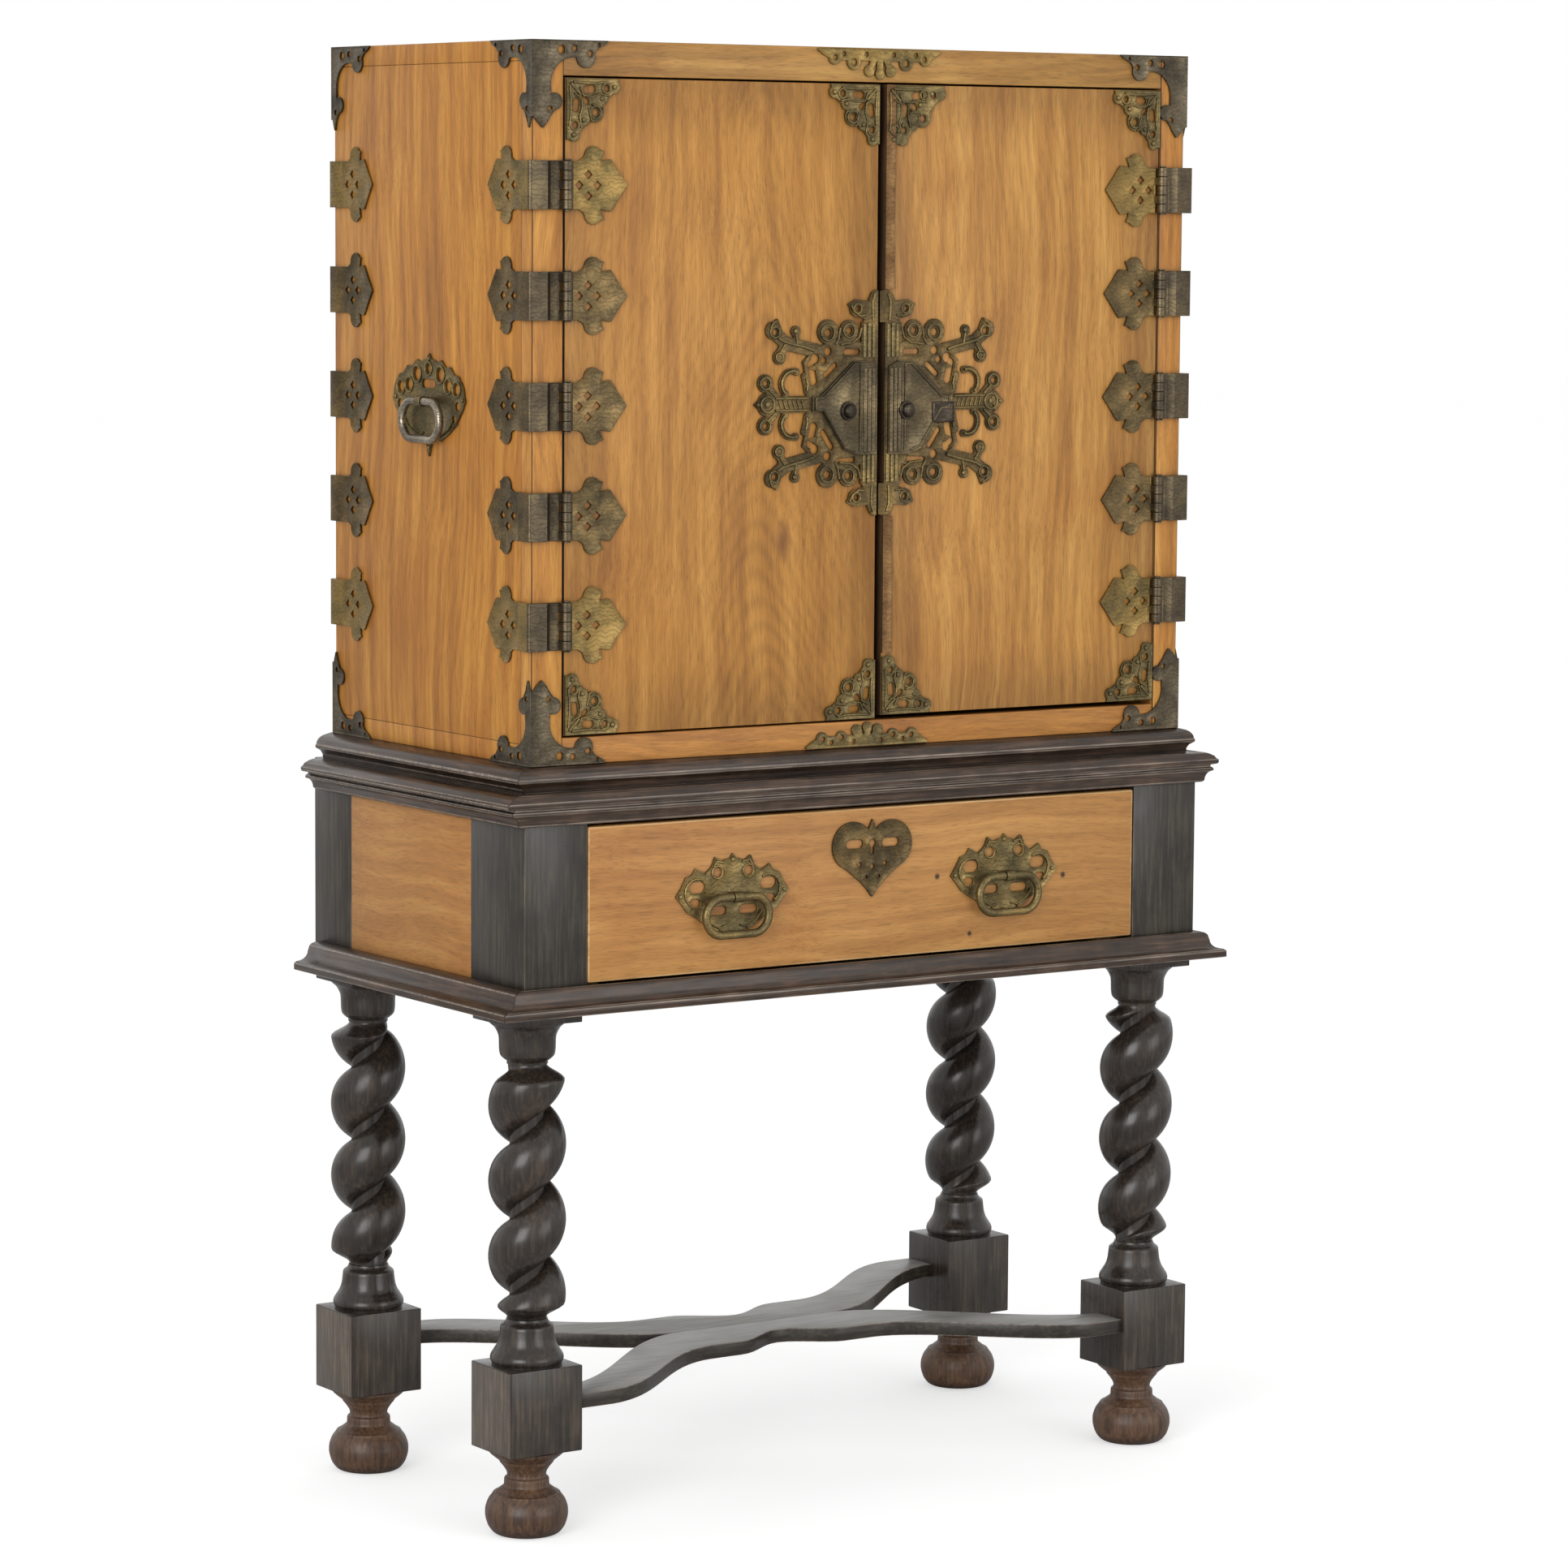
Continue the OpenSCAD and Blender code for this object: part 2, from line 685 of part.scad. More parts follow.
// The brass strip on the right door's meeting edge pushes the mount above it aside
module door_mounts_right() {
    inset = 0.5;
    color(BRASS) place() on_front(front_y, mount_t) {
        translate([door_r_x0 + inset, door_r_bot + inset]) door_corner_shape();
        translate([door_r_x1 - inset, door_r_bot + inset]) mirror([1, 0]) door_corner_shape();
        translate([door_r_x0 + strip_w + inset, door_top - inset]) mirror([0, 1]) door_corner_shape();
        translate([door_r_x1 - inset, door_top - inset]) mirror([1, 0]) mirror([0, 1]) door_corner_shape();
    }
}

// Hinges

// The pointed end of a strap: starts at x = 0 at the strap's height, its point at x = len
module strap_end(len) {
    h = leaf_h / 2;
    difference() {
        union() {
            translate([0, -h]) square([0.62 * len, 2 * h]);
            for (s = [-1, 1]) {
                polygon([[0.1 * len, s * (h - 2)], [0.13 * len, s * h], [0.21 * len, s * (h + 3)],
                         [0.27 * len, s * (h + 9)], [0.4 * len, s * (h + 3)], [0.4 * len, s * (h - 2)]]);
                translate([0.39 * len, s * (h + 5)]) circle(r = 10.5, $fn = 32);
                polygon([[0.4 * len, s * (h + 13)], [0.585 * len, s * (h + 10.5)],
                         [0.54 * len, s * (h + 4)],
                         [0.4 * len, s * (h - 2)]]);
            }
            polygon([[0.5 * len, 1 - h], [0.6 * len, -h - 1], [0.7 * len, -h - 2], [0.76 * len, 3 - h],
                     [0.83 * len, -0.6 * h], [0.91 * len, -0.32 * h], [len, 0], [0.91 * len, 0.32 * h],
                     [0.83 * len, 0.6 * h], [0.76 * len, h - 3], [0.7 * len, h + 2], [0.6 * len, h + 1],
                     [0.5 * len, h - 1]]);
        }
        for (a = [45 : 90 : 315])
            translate([0.3 * len, 0]) rotate(a) translate([7.9, 7.9]) square(7.4, center = true);
    }
}

module knuckles(first) {
    for (i = [first : 2 : knuckle_n - 1])
        translate([0, 0, -leaf_h / 2 + i * knuckle_h + seam / 2]) children();
}

module knuckle() {
    cylinder(r = knuckle_r, h = knuckle_h - seam, $fn = 48);
}

// A leaf's tab from the pin to its plate, reaching along +x
module knuckle_tab() {
    translate([0, knuckle_r + 0.6 - leaf_t, 0]) cube([leaf_start + 1, leaf_t - seam, knuckle_h - seam]);
}

// A door leaf with its pin at the origin, reaching along +x, its face flat on the door at
// y = knuckle_r + 0.6
module door_leaf() {
    difference() {
        union() {
            translate([leaf_start, knuckle_r + 0.6, 0]) rotate([90, 0, 0]) linear_extrude(leaf_t)
                strap_end(leaf_len - leaf_start);
            knuckles(1) knuckle();
            knuckles(1) knuckle_tab();
        }
        cylinder(r = bore_r, h = 2 * leaf_h, center = true, $fn = 48);
    }
}

// The plan of a raised strap corner with the case's corner at the origin, the case lying at +x and +y
module clasp_plan(proud, w) {
    difference() {
        union() {
            translate([-proud, -proud + 4]) square([proud + 0.01, w + proud - 8]);
            translate([-proud + 4, -proud]) square([w + proud - 8, proud + 0.01]);
            translate([-proud + 4, -proud + 4]) circle(r = 4, $fn = 32);
            polygon([[-leaf_t, w + 2], [-proud, w - 4], [-proud, 0], [0, 0], [0, w + 2]]);
            polygon([[w + 2, -leaf_t], [w - 4, -proud], [0, -proud], [0, 0], [w + 2, 0]]);
        }
        square(2 * w);
    }
}

// A case leaf for a left corner at the origin, its pin at the distance reach from the corner
module case_leaf(reach) {
    wrap = 26;
    difference() {
        union() {
            translate([0, 0, -leaf_h / 2]) linear_extrude(leaf_h) clasp_plan(clasp_proud, clasp_w);
            box(0, reach - leaf_start, -leaf_t, 0, -leaf_h / 2, leaf_h / 2);
            box(-leaf_t, 0, 0, wrap + 0.5, -leaf_h / 2, leaf_h / 2);
            translate([0, wrap, 0]) rotate([90, 0, 90]) translate([0, 0, -leaf_t]) linear_extrude(leaf_t)
                strap_end(side_leaf_len - wrap);
            translate([reach, pin_y - front_y, 0]) {
                knuckles(0) knuckle();
                knuckles(0) mirror([1, 0, 0]) knuckle_tab();
            }
        }
        translate([reach, pin_y - front_y, 0])
            cylinder(r = bore_r, h = 2 * leaf_h, center = true, $fn = 48);
    }
}

module at_hinges() {
    for (i = [0 : hinge_n - 1]) translate([0, 0, hinge_z0 + i * hinge_pitch]) children();
}

module hinge_case_leaves() {
    color(BRASS) place() at_hinges() {
        translate([-side_x, front_y, 0]) case_leaf(pin_l_x + side_x);
        translate([side_x, front_y, 0]) mirror([1, 0, 0]) case_leaf(side_x - pin_r_x);
    }
}

module hinge_door_leaves_left() {
    color(BRASS) place() translate([pin_l_x, pin_y, 0]) at_hinges() door_leaf();
}

module hinge_door_leaves_right() {
    color(BRASS) place() translate([pin_r_x, pin_y, 0]) at_hinges() mirror([1, 0, 0]) door_leaf();
}

module hinge_pins() {
    head_h = 2;
    color(BRASS) place() for (x = [pin_l_x, pin_r_x]) translate([x, pin_y, 0]) at_hinges() {
        cylinder(r = pin_r, h = leaf_h + 2, center = true, $fn = 48);
        for (s = [-1, 1]) translate([0, 0, s * (leaf_h / 2 + head_h / 2)])
            cylinder(r = pin_r + 1.5, h = head_h - 0.2, center = true, $fn = 48);
    }
}

// A strap round a back corner of the case, with no knuckles
module back_strap() {
    end = side_leaf_len - 26;
    translate([-side_x, case_d / 2, -leaf_h / 2]) mirror([0, 1, 0]) linear_extrude(leaf_h)
        clasp_plan(back_clasp_proud, clasp_w);
    box(-side_x - leaf_t, -side_x, case_d / 2 - 26.5, case_d / 2, -leaf_h / 2, leaf_h / 2);
    translate([-side_x, case_d / 2 - 26, 0]) rotate([90, 0, -90]) linear_extrude(leaf_t) strap_end(end);
    box(-side_x, -side_x + 30, case_d / 2, case_d / 2 + leaf_t, -leaf_h / 2, leaf_h / 2);
}

module back_corner_straps() {
    color(BRASS) place() mirror_x() at_hinges() back_strap();
}

// How far the tongue's point hangs below the corner between the two plates
corner_point = 12;

// One face of a case corner mount: the corner at the origin, the arm along +x and the tongue down -y
module corner_face(arm, tongue) {
    d = corner_drop;
    arch = 28;
    difference() {
        polygon([[0, 0], [arm, 0], [arm - 4, -4], [arm - 14, -9], [arm - 20, -17], [tongue + 12, -32],
                 [tongue + 0.5, -48], [tongue, 26 - d], [0, 26 - d]]);
        translate([tongue + arch, -46]) circle(r = arch, $fn = 64);
        translate([arm - 23, -14]) circle(r = 3.5, $fn = 24);
        translate([tongue + 13, -10]) circle(r = 4.5, $fn = 24);
        translate([tongue + 29, -8.5]) circle(r = 3.5, $fn = 24);
        translate([arm - 12, -4.5]) circle(r = 2, $fn = 24);
    }
    difference() {
        translate([arm - 28, -18]) circle(r = 11, $fn = 32);
        translate([arm - 23, -14]) circle(r = 3.5, $fn = 24);
    }
    difference() {
        union() {
            translate([tongue + 5, 28 - d]) circle(r = 9, $fn = 32);
            polygon([[0, 34 - d], [tongue, 34 - d], [tongue + 7, 21 - d], [tongue, 13 - d],
                     [0.8 * tongue, 6 - d], [0.55 * tongue, -d], [0.3 * tongue, 5 - d],
                     [0, corner_point - d]]);
        }
        translate([tongue - 1, 20 - d]) circle(r = 3, $fn = 24);
    }
}

// The mount at the front left top corner: a plate on each face and the corner between them
module corner_mount(y_corner) {
    translate([-side_x, y_corner, 0]) {
        rotate([90, 0, 0]) linear_extrude(mount_t) corner_face(corner_arm, 21);
        rotate([90, 0, 90]) translate([0, 0, -mount_t]) linear_extrude(mount_t)
            corner_face(corner_arm - 9, 8);
        translate([-mount_t, -mount_t, corner_point - corner_drop])
            cube([mount_t, mount_t, corner_drop - corner_point]);
    }
}

module corner_mounts() {
    color(BRASS) place() mirror_x() mirror_y() {
        translate([0, 0, case_top_z]) corner_mount(front_y);
        translate([0, 0, case_z]) mirror([0, 0, 1]) corner_mount(front_y);
    }
}

// The middle mounts of the rails: x along the rail, y = 0 at the rail's outer edge, hanging down
module centre_shape(h) {
    w = centre_mount_w / 2;
    lobe_x = 0.42 * w;
    lobe_z = 5 - 0.6 * h;
    difference() {
        union() {
            polygon([[2 - w, 0], [w - 2, 0], [w, -2], [w - 9, -8], [w - 19, -13],
                     [19 - w, -13], [9 - w, -8], [-w, -2]]);
            mirror_x() {
                translate([w - 22, -11]) circle(r = 7, $fn = 32);
                translate([0.17 * w, 9 - h]) circle(r = 6.5, $fn = 32);
                link([0.08 * w, -9], [0.17 * w, 9 - h], 7);
            }
            for (s = [-1, 1]) translate([s * lobe_x, lobe_z]) circle(r = 0.26 * h, $fn = 32);
            translate([0, 6 - h]) circle(r = 6, $fn = 32);
            link([0, -8], [0, 6 - h], 8);
        }
        mirror_x() {
            translate([w - 23, -10]) circle(r = 3, $fn = 24);
            translate([0.58 * w, -6]) circle(r = 2.6, $fn = 24);
            translate([0.22 * w, -6]) circle(r = 2.6, $fn = 24);
        }
        for (s = [-1, 1]) translate([s * lobe_x, lobe_z]) circle(r = 0.12 * h, $fn = 24);
    }
}

module centre_mounts() {
    edge = 1;
    color(BRASS) place() {
        translate([meet_x - 5, 0, case_top_z - edge]) on_front(front_y, mount_t)
            centre_shape(rail_top_h - 4);
        translate([0, 0, case_z + edge]) on_front(front_y, mount_t) mirror([0, 1])
            centre_shape(rail_bot_h - 2);
    }
}

// Handles

// Half the width of the post between a handle's two necks
post_half = 6;

// A drop handle with its pivot at the origin, hanging down, its bar along x
module bail() {
    bend = bail_h / 2 - bail_r;
    straight = bail_w / 2 - bail_r - bend;
    neck = post_half;
    for (s = [-1, 1]) {
        translate([s * straight, 0, -bend]) rotate([90, s > 0 ? 90 : -90, 0])
            rotate_extrude(angle = 180, $fn = 64) translate([bend, 0]) circle(r = bail_r, $fn = 32);
        translate([s * neck, 0, 0]) rotate([0, s * 90, 0])
            cylinder(r = bail_r, h = straight - neck, $fn = 32);
    }
    rotate([0, 90, 0]) cylinder(r = pivot_r, h = 2 * neck + 1, center = true, $fn = 32);
    translate([0, 0, -2 * bend]) rotate([0, 90, 0])
        cylinder(r = bail_r, h = 2 * straight, center = true, $fn = 32);
}

// The post that carries a handle's pivot: pivot at the origin, standing on the plate behind it
module bail_post() {
    half = post_half - slip;
    depth = bail_proud - mount_t + 0.01;
    difference() {
        union() {
            rotate([0, 90, 0]) cylinder(r = pivot_r + 3, h = 2 * half, center = true, $fn = 48);
            translate([-half, 0, -pivot_r - 2]) cube([2 * half, depth, 2 * pivot_r + 4]);
        }
        rotate([0, 90, 0]) cylinder(r = pivot_r + running, h = 4 * half, center = true, $fn = 48);
    }
}

// Backplate of a drawer handle, the pivot's height at y = 0
module handle_plate_shape() {
    w = handle_plate_w / 2;
    difference() {
        union() {
            translate([0, 8]) circle(r = 34, $fn = 48);
            translate([0, -10]) circle(r = 31, $fn = 48);
            for (s = [-1, 1]) {
                polygon([[s * 8, 34], [s * 23, 44], [s * 27, 34], [s * 36, 26], [s * 48, 33],
                         [s * (w - 20), 24], [s * (w - 13), 24], [s * (w - 8), 14], [s * w, 3],
                         [s * (w - 8), -6], [s * (w - 15), -15],
                         [s * 40, -26], [s * 20, -38], [s * 4, -20], [s * 4, 20]]);
                translate([s * (w - 27), 6]) circle(r = 21, $fn = 32);
            }
            polygon([[-6, 38], [0, 47], [6, 38]]);
            polygon([[-9, -36], [0, -47], [9, -36]]);
        }
        for (s = [-1, 1]) {
            link_hole([s * (w - 27), 12], 4, 6.5);
            link_hole([s * (w - 24), -5], 2, 5);
            link_hole([s * 20, 27], 4, 5);
            link_hole([s * 20, -15], 7, 5);
        }
    }
}

// A slot with round ends: its middle, the half length between the ends' centres and the ends' radius
module link_hole(at, half, r) {
    translate(at) {
        square([2 * half, 2 * r], center = true);
        translate([-half, 0]) circle(r = r, $fn = 24);
        translate([half, 0]) circle(r = r, $fn = 24);
    }
}

module drawer_handle_plates() {
    color(BRASS) place() for (s = [-1, 1])
    translate([drawer_mid + s * handle_pitch / 2, -post_y, bail_z]) {
        on_front(0, mount_t) handle_plate_shape();
        translate([0, -bail_proud, 0]) bail_post();
    }
}

module drawer_bail(s) {
    color(BRASS) place()
        translate([drawer_mid + s * handle_pitch / 2, -post_y - bail_proud, bail_z]) bail();
}

module drawer_bail_left() drawer_bail(-1);
module drawer_bail_right() drawer_bail(1);

// Backplate of a side handle, the pivot's height at y = 0
module side_plate_shape() {
    w = side_plate_w / 2;
    difference() {
        union() {
            translate([0, 2]) circle(r = 44, $fn = 64);
            for (s = [-1, 1]) {
                polygon([[0, 44], [s * 16, 40], [s * 26, 45], [s * 36, 37], [s * 46, 38], [s * 54, 30],
                         [s * (w - 14), 28], [s * (w - 7), 16], [s * w, 2], [s * (w - 6), -8],
                         [s * (w - 20), -24],
                         [s * 44, -34], [s * 24, -43], [0, -30]]);
                translate([s * (w - 21), 8]) circle(r = 18.5, $fn = 32);
            }
            polygon([[-8, 42], [0, 52], [8, 42]]);
            polygon([[-8, -39], [0, -60], [8, -39]]);
        }
        translate([0, 35]) circle(r = 5, $fn = 24);
        link_hole([0, 19], 9, 5);
        for (s = [-1, 1]) {
            translate([s * 25, 29]) circle(r = 7, $fn = 24);
            translate([s * 42, 17]) circle(r = 6, $fn = 24);
            translate([s * (w - 18), 14]) circle(r = 6, $fn = 24);
            translate([s * (w - 16), -4]) circle(r = 5, $fn = 24);
            translate([s * (w - 24), -18]) circle(r = 4, $fn = 24);
        }
    }
}

module side_handle_plates() {
    color(BRASS) place() mirror_x() translate([-side_x, 0, side_bail_z]) {
        on_left(0, mount_t) side_plate_shape();
        rotate(-90) translate([0, -bail_proud, 0]) bail_post();
    }
}

module side_bail_left() {
    color(BRASS) place() translate([-side_x - bail_proud, 0, side_bail_z]) rotate(90) bail();
}

module side_bail_right() {
    color(BRASS) place() translate([side_x + bail_proud, 0, side_bail_z]) rotate(90) bail();
}

// Stand

module stand_top() {
    color(EBONISED) place() box(-post_x, post_x, -post_y, post_y, board_under_z, stand_top_z);
}

module top_moulding_front() {
    color(EBONISED) place() translate([0, 0, frieze_top])
        front_run(top_profile(top_h), stand_w, stand_d, top_out_side, top_out_front, -0.5, top_h);
}

module top_moulding_ends() {
    color(EBONISED) place() translate([0, 0, frieze_top]) mirror_x()
        end_run(top_profile(top_h), stand_w, stand_d, top_out_side, top_out_front, -0.5, top_h,
                post_y - mould_short);
}

module posts_front() {
    color(EBONISED) place() {
        box(-post_x, bay_l, -post_y, -post_y + post_d, board_top_z, board_under_z);
        box(bay_r, post_x, -post_y, -post_y + post_d, board_top_z, board_under_z);
    }
}

module posts_back() {
    color(EBONISED) place() {
        box(-post_x, bay_l, post_y - back_post_d, post_y, board_top_z, board_under_z);
        box(bay_r, post_x, post_y - back_post_d, post_y, board_top_z, board_under_z);
    }
}

module frieze_end_panels() {
    color(OAK) place() mirror_x()
        box(-post_x, -post_x + panel_t, -post_y + post_d, post_y - back_post_d,
            board_top_z, board_under_z);
}

module frieze_back_panel() {
    y1 = post_y - panel_inset;
    color(OAK_DARK) place() box(bay_l, bay_r, y1 - panel_t, y1, board_top_z, board_under_z);
}

module stand_floor() {
    color(EBONISED) place() difference() {
        box(-post_x, post_x, -post_y, post_y, floor_z, board_top_z);
        at_legs() translate([0, 0, floor_z - 1])
            cylinder(r = dowel_r + slip, h = dowel_len + 1 + slip, $fn = 48);
    }
}

module bottom_moulding_front() {
    color(EBONISED) place() translate([0, 0, floor_z])
        front_run(bottom_profile(bot_h), stand_w, stand_d, bot_out_side, bot_out_front, -0.5, bot_h);
}

module bottom_moulding_ends() {
    color(EBONISED) place() translate([0, 0, floor_z]) mirror_x()
        end_run(bottom_profile(bot_h), stand_w, stand_d, bot_out_side, bot_out_front, -0.5, bot_h,
                post_y - mould_short);
}

// Drawer

runner_w = 30;
drawer_l = bay_l + drawer_gap;
drawer_r = bay_r - drawer_gap;
drawer_y0 = -post_y + drawer_front_t;
drawer_y1 = post_y - panel_t - panel_inset - drawer_back_gap;
drawer_floor = drawer_bot + 6;

module drawer_runners() {
    y0 = drawer_y0 + 2;
    y1 = post_y - panel_t - panel_inset;
    color(OAK_DARK) place() {
        box(bay_l, bay_l + runner_w, y0, y1, board_top_z, drawer_bot - slip);
        box(bay_r - runner_w, bay_r, y0, y1, board_top_z, drawer_bot - slip);
    }
}

module drawer_front() {
    color(OAK) place() box(drawer_l, drawer_r, -post_y, drawer_y0, drawer_bot, drawer_top);
}

module drawer_sides() {
    color(OAK_DARK) place() {
        box(drawer_l + 1, drawer_l + 1 + drawer_side_t, drawer_y0, drawer_y1, drawer_bot, drawer_box_top);
        box(drawer_r - 1 - drawer_side_t, drawer_r - 1, drawer_y0, drawer_y1, drawer_bot, drawer_box_top);
    }
}

module drawer_back() {
    color(OAK_DARK) place()
        box(drawer_l + 1 + drawer_side_t, drawer_r - 1 - drawer_side_t,
            drawer_y1 - drawer_side_t, drawer_y1,
            drawer_floor + drawer_bot_t, drawer_box_top - 6);
}

module drawer_bottom() {
    color(OAK_DARK) place()
        box(drawer_l + 1 + drawer_side_t, drawer_r - 1 - drawer_side_t, drawer_y0, drawer_y1, drawer_floor,
            drawer_floor + drawer_bot_t);
}

// Heart-shaped escutcheon with a keyhole and two drops, the lobes' centres at y = 0
module heart() {
    lobe = 27;
    difference() {
        polygon([[0, -58], [7, -49], [16, -40], [33, -27], for (a = [-50 : 10 : 140])
                 [lobe - 1 + lobe * cos(a), lobe * sin(a)], [0, 29], for (a = [40 : 10 : 230])
                 [1 - lobe + lobe * cos(a), lobe * sin(a)], [-33, -27], [-16, -40], [-7, -49]]);
        translate([0, 2]) circle(r = 4.5, $fn = 32);
        translate([-2, -10]) square([4, 10]);
        for (s = [-1, 1]) {
            link_hole([s * 24, 2], 6.5, 5);
            translate([s * 17, -21]) circle(r = 2.8, $fn = 24);
            translate([s * 8.5, -35]) circle(r = 2, $fn = 24);
        }
        translate([0, -24]) circle(r = 3, $fn = 24);
    }
}

module drawer_escutcheon() {
    color(BRASS) place()
        translate([drawer_mid + 2, 0, drawer_top - 41]) on_front(-post_y, mount_t) heart();
}

// Legs

module at_legs() {
    for (sx = [-1, 1]) for (sy = [-1, 1])
        translate([sx * leg_span_x / 2, sy * leg_span_y / 2, 0]) children();
}

// Twist: a single right-handed groove climbs the leg, one turn in each pitch, and fades out at both ends
twist_sides = 24;
twist_steps = 52;
twist_over = 1.5;
twist_end_r = groove_r + 2;
neck_r = groove_r + 3.2;
fade_h = 17;
groove_share = 0.14;
rope_power = 0.55;

function fade(t) = t <= 0 ? 0 : t >= 1 ? 1 : t * t * (3 - 2 * t);
function twist_swell(z) = fade(min(z, twist_h - z) / fade_h);
// How far the rope stands out at a share t of a turn from the groove, from 0 to 1
function rope(t) =
    let (u = (2 * t - 1) / (1 - groove_share))
    abs(u) >= 1 ? 0 : pow(1 - u * u, rope_power);
function twist_radius(z, k) =
    groove_r + (twist_r - groove_r) * twist_swell(z) * rope(k / twist_sides)
    + (twist_end_r - groove_r) * (1 - twist_swell(z));
function twist_point(z, k, start) =
    let (a = start + 360 * z / twist_pitch + 360 * k / twist_sides, r = twist_radius(z, k))
    [r * cos(a), r * sin(a), z];

module twist(start) {
    zs = [for (i = [0 : twist_steps]) -twist_over + i * (twist_h + 2 * twist_over) / twist_steps];
    n = twist_sides;
    points = [for (z = zs) for (k = [0 : n - 1]) twist_point(z, k, start)];
    sides = [for (i = [0 : twist_steps - 1]) for (k = [0 : n - 1])
             let (a = i * n + k, b = i * n + (k + 1) % n) each [[a, a + n, b], [b, a + n, b + n]]];
    base = [[for (k = [0 : n - 1]) k]];
    lid = [[for (k = [n - 1 : -1 : 0]) twist_steps * n + k]];
    translate([0, 0, twist_z]) polyhedron(points, concat(base, sides, lid));
}

module turned(profile) {
    rotate_extrude($fn = 64) polygon(profile);
}

// One leg on its own axis. groove is the direction of the twist's groove at the twist's foot
module leg(groove) {
    difference() {
        translate([-block_w / 2, -block_d / 2, block_z]) cube([block_w, block_d, block_h]);
        translate([0, 0, block_z - 1]) cylinder(r = dowel_r + slip, h = dowel_len + 1 + slip, $fn = 48);
    }
    turned([[0, cup_z - 2], [38, cup_z - 2], [38, cup_z + 1], [39.5, cup_z + 4], [40, cup_z + 8],
            [39, cup_z + 12], [36.5, cup_z + 14.5], [34, cup_z + 15], [33.5, cup_z + 17.5],
            [31, cup_z + 20],
            [29.8, cup_z + 26], [29, cup_z + 38], [28.6, cup_z + 42], [25, cup_z + 44.5],
            [neck_r + 0.6, cup_z + cup_h - 3], [neck_r, twist_z], [0, twist_z]]);
    twist(groove);
    turned([[0, drum_z], [neck_r, drum_z], [neck_r, drum_z + 4], [25.5, drum_z + 6], [29.5, drum_z + 10],
            [30.5, drum_z + 16], [30.8, drum_z + drum_h - 17], [32.5, drum_z + drum_h - 12],
            [36, drum_z + drum_h - 6], [41, drum_z + drum_h - 2], [42.5, cap_z + 1], [0, cap_z + 1]]);
    translate([-cap_w / 2, -cap_w / 2 + 1.5, cap_z]) cube([cap_w, cap_w - 3, cap_t]);
    translate([0, 0, cap_z + cap_t - 1]) cylinder(r = dowel_r, h = dowel_len + 1, $fn = 48);
}

// The mortise that an arm's tenon enters, on the leg's own axis, for the leg at the front left
module tenon_slot() {
    x0 = block_w / 2 - tenon_len - slip;
    translate([x0, -block_d / 2 + 4 + (arm_end_w - tenon_w) / 2 - slip,
               stretcher_z + (stretcher_t - tenon_h) / 2 - slip])
        cube([tenon_len + 5, tenon_w + 2 * slip, tenon_h + 2 * slip]);
}

tenon_w = 30;
tenon_h = 10;

module jointed_leg(sx, sy, groove) {
    translate([sx * leg_span_x / 2, sy * leg_span_y / 2, 0]) difference() {
        leg(groove);
        flip_x(-sx) flip_y(-sy) tenon_slot();
    }
}

module flip_y(sign) {
    if (sign < 0) mirror([0, 1, 0]) children();
    else children();
}

// Directions of the grooves at the twist's foot, as the legs were set
groove_fl = 36;
groove_fr = 159;
groove_bl = 247;
groove_br = 151;

module legs_front() {
    color(EBONISED) place() {
        jointed_leg(-1, -1, groove_fl);
        jointed_leg(1, -1, groove_fr);
    }
}

module legs_back() {
    color(EBONISED) place() {
        jointed_leg(-1, 1, groove_bl);
        jointed_leg(1, 1, groove_br);
    }
}

module foot() {
    r = foot_r;
    h = foot_h;
    turned([[0, 0], [r - 13, 0], [r - 8, 2.5], [r - 3, 9], [r, 19], [r, 28], [r - 3, 37], [r - 8, 43.5],
            [r - 8.6, 45], [r - 11, 45.6], [r - 14, 48], [r - 18, 51], [r - 20.5, 53], [r - 20.6, 61],
            [r - 23, 62.5], [r - 24, 65], [r - 23, 69], [r - 19, h - 18], [r - 15.5, h - 14],
            [r - 15, h - 12], [r - 11, h - 9], [r - 5, h - 4], [r - 3, h - 1], [r - 3, h], [0, h]]);
    translate([0, 0, h - 1]) cylinder(r = dowel_r, h = dowel_len + 1, $fn = 48);
}

module feet() {
    color(BROWN) place() at_legs() foot();
}

// Stretcher: two serpentine boards that meet along the middle

function arm_outer(x) =
    waist + (shoulder - waist) * fade(x / 70)
    + (arm_out_y - shoulder) * fade((x - 108) / (block_in_x - 145));
function arm_inner(x) = arm_in_y * fade((x - crotch_x - 8) / (block_in_x - crotch_x - 4));

stretcher_steps = 36;

module stretcher_half() {
    step = block_in_x / stretcher_steps;
    outer = [for (i = [-stretcher_steps : stretcher_steps]) [i * step, arm_outer(abs(i * step))]];
    right_in = [for (i = [stretcher_steps : -1 : 0])
                if (i * step > crotch_x) [i * step, arm_inner(i * step)]];
    left_in = [for (i = [0 : stretcher_steps])
               if (i * step > crotch_x) [-i * step, arm_inner(i * step)]];
    middle = [[crotch_x, 0], [-crotch_x, 0]];
    translate([0, 0, stretcher_z]) linear_extrude(stretcher_t)
        polygon(concat(outer, right_in, middle, left_in));
    mirror_x()
    translate([block_in_x - 1, arm_in_y + (arm_end_w - tenon_w) / 2,
               stretcher_z + (stretcher_t - tenon_h) / 2])
        cube([tenon_len + 1, tenon_w, tenon_h]);
}

module stretcher_front() {
    color(EBONISED) place() mirror([0, 1, 0]) stretcher_half();
}

module stretcher_back() {
    color(EBONISED) place() stretcher_half();
}

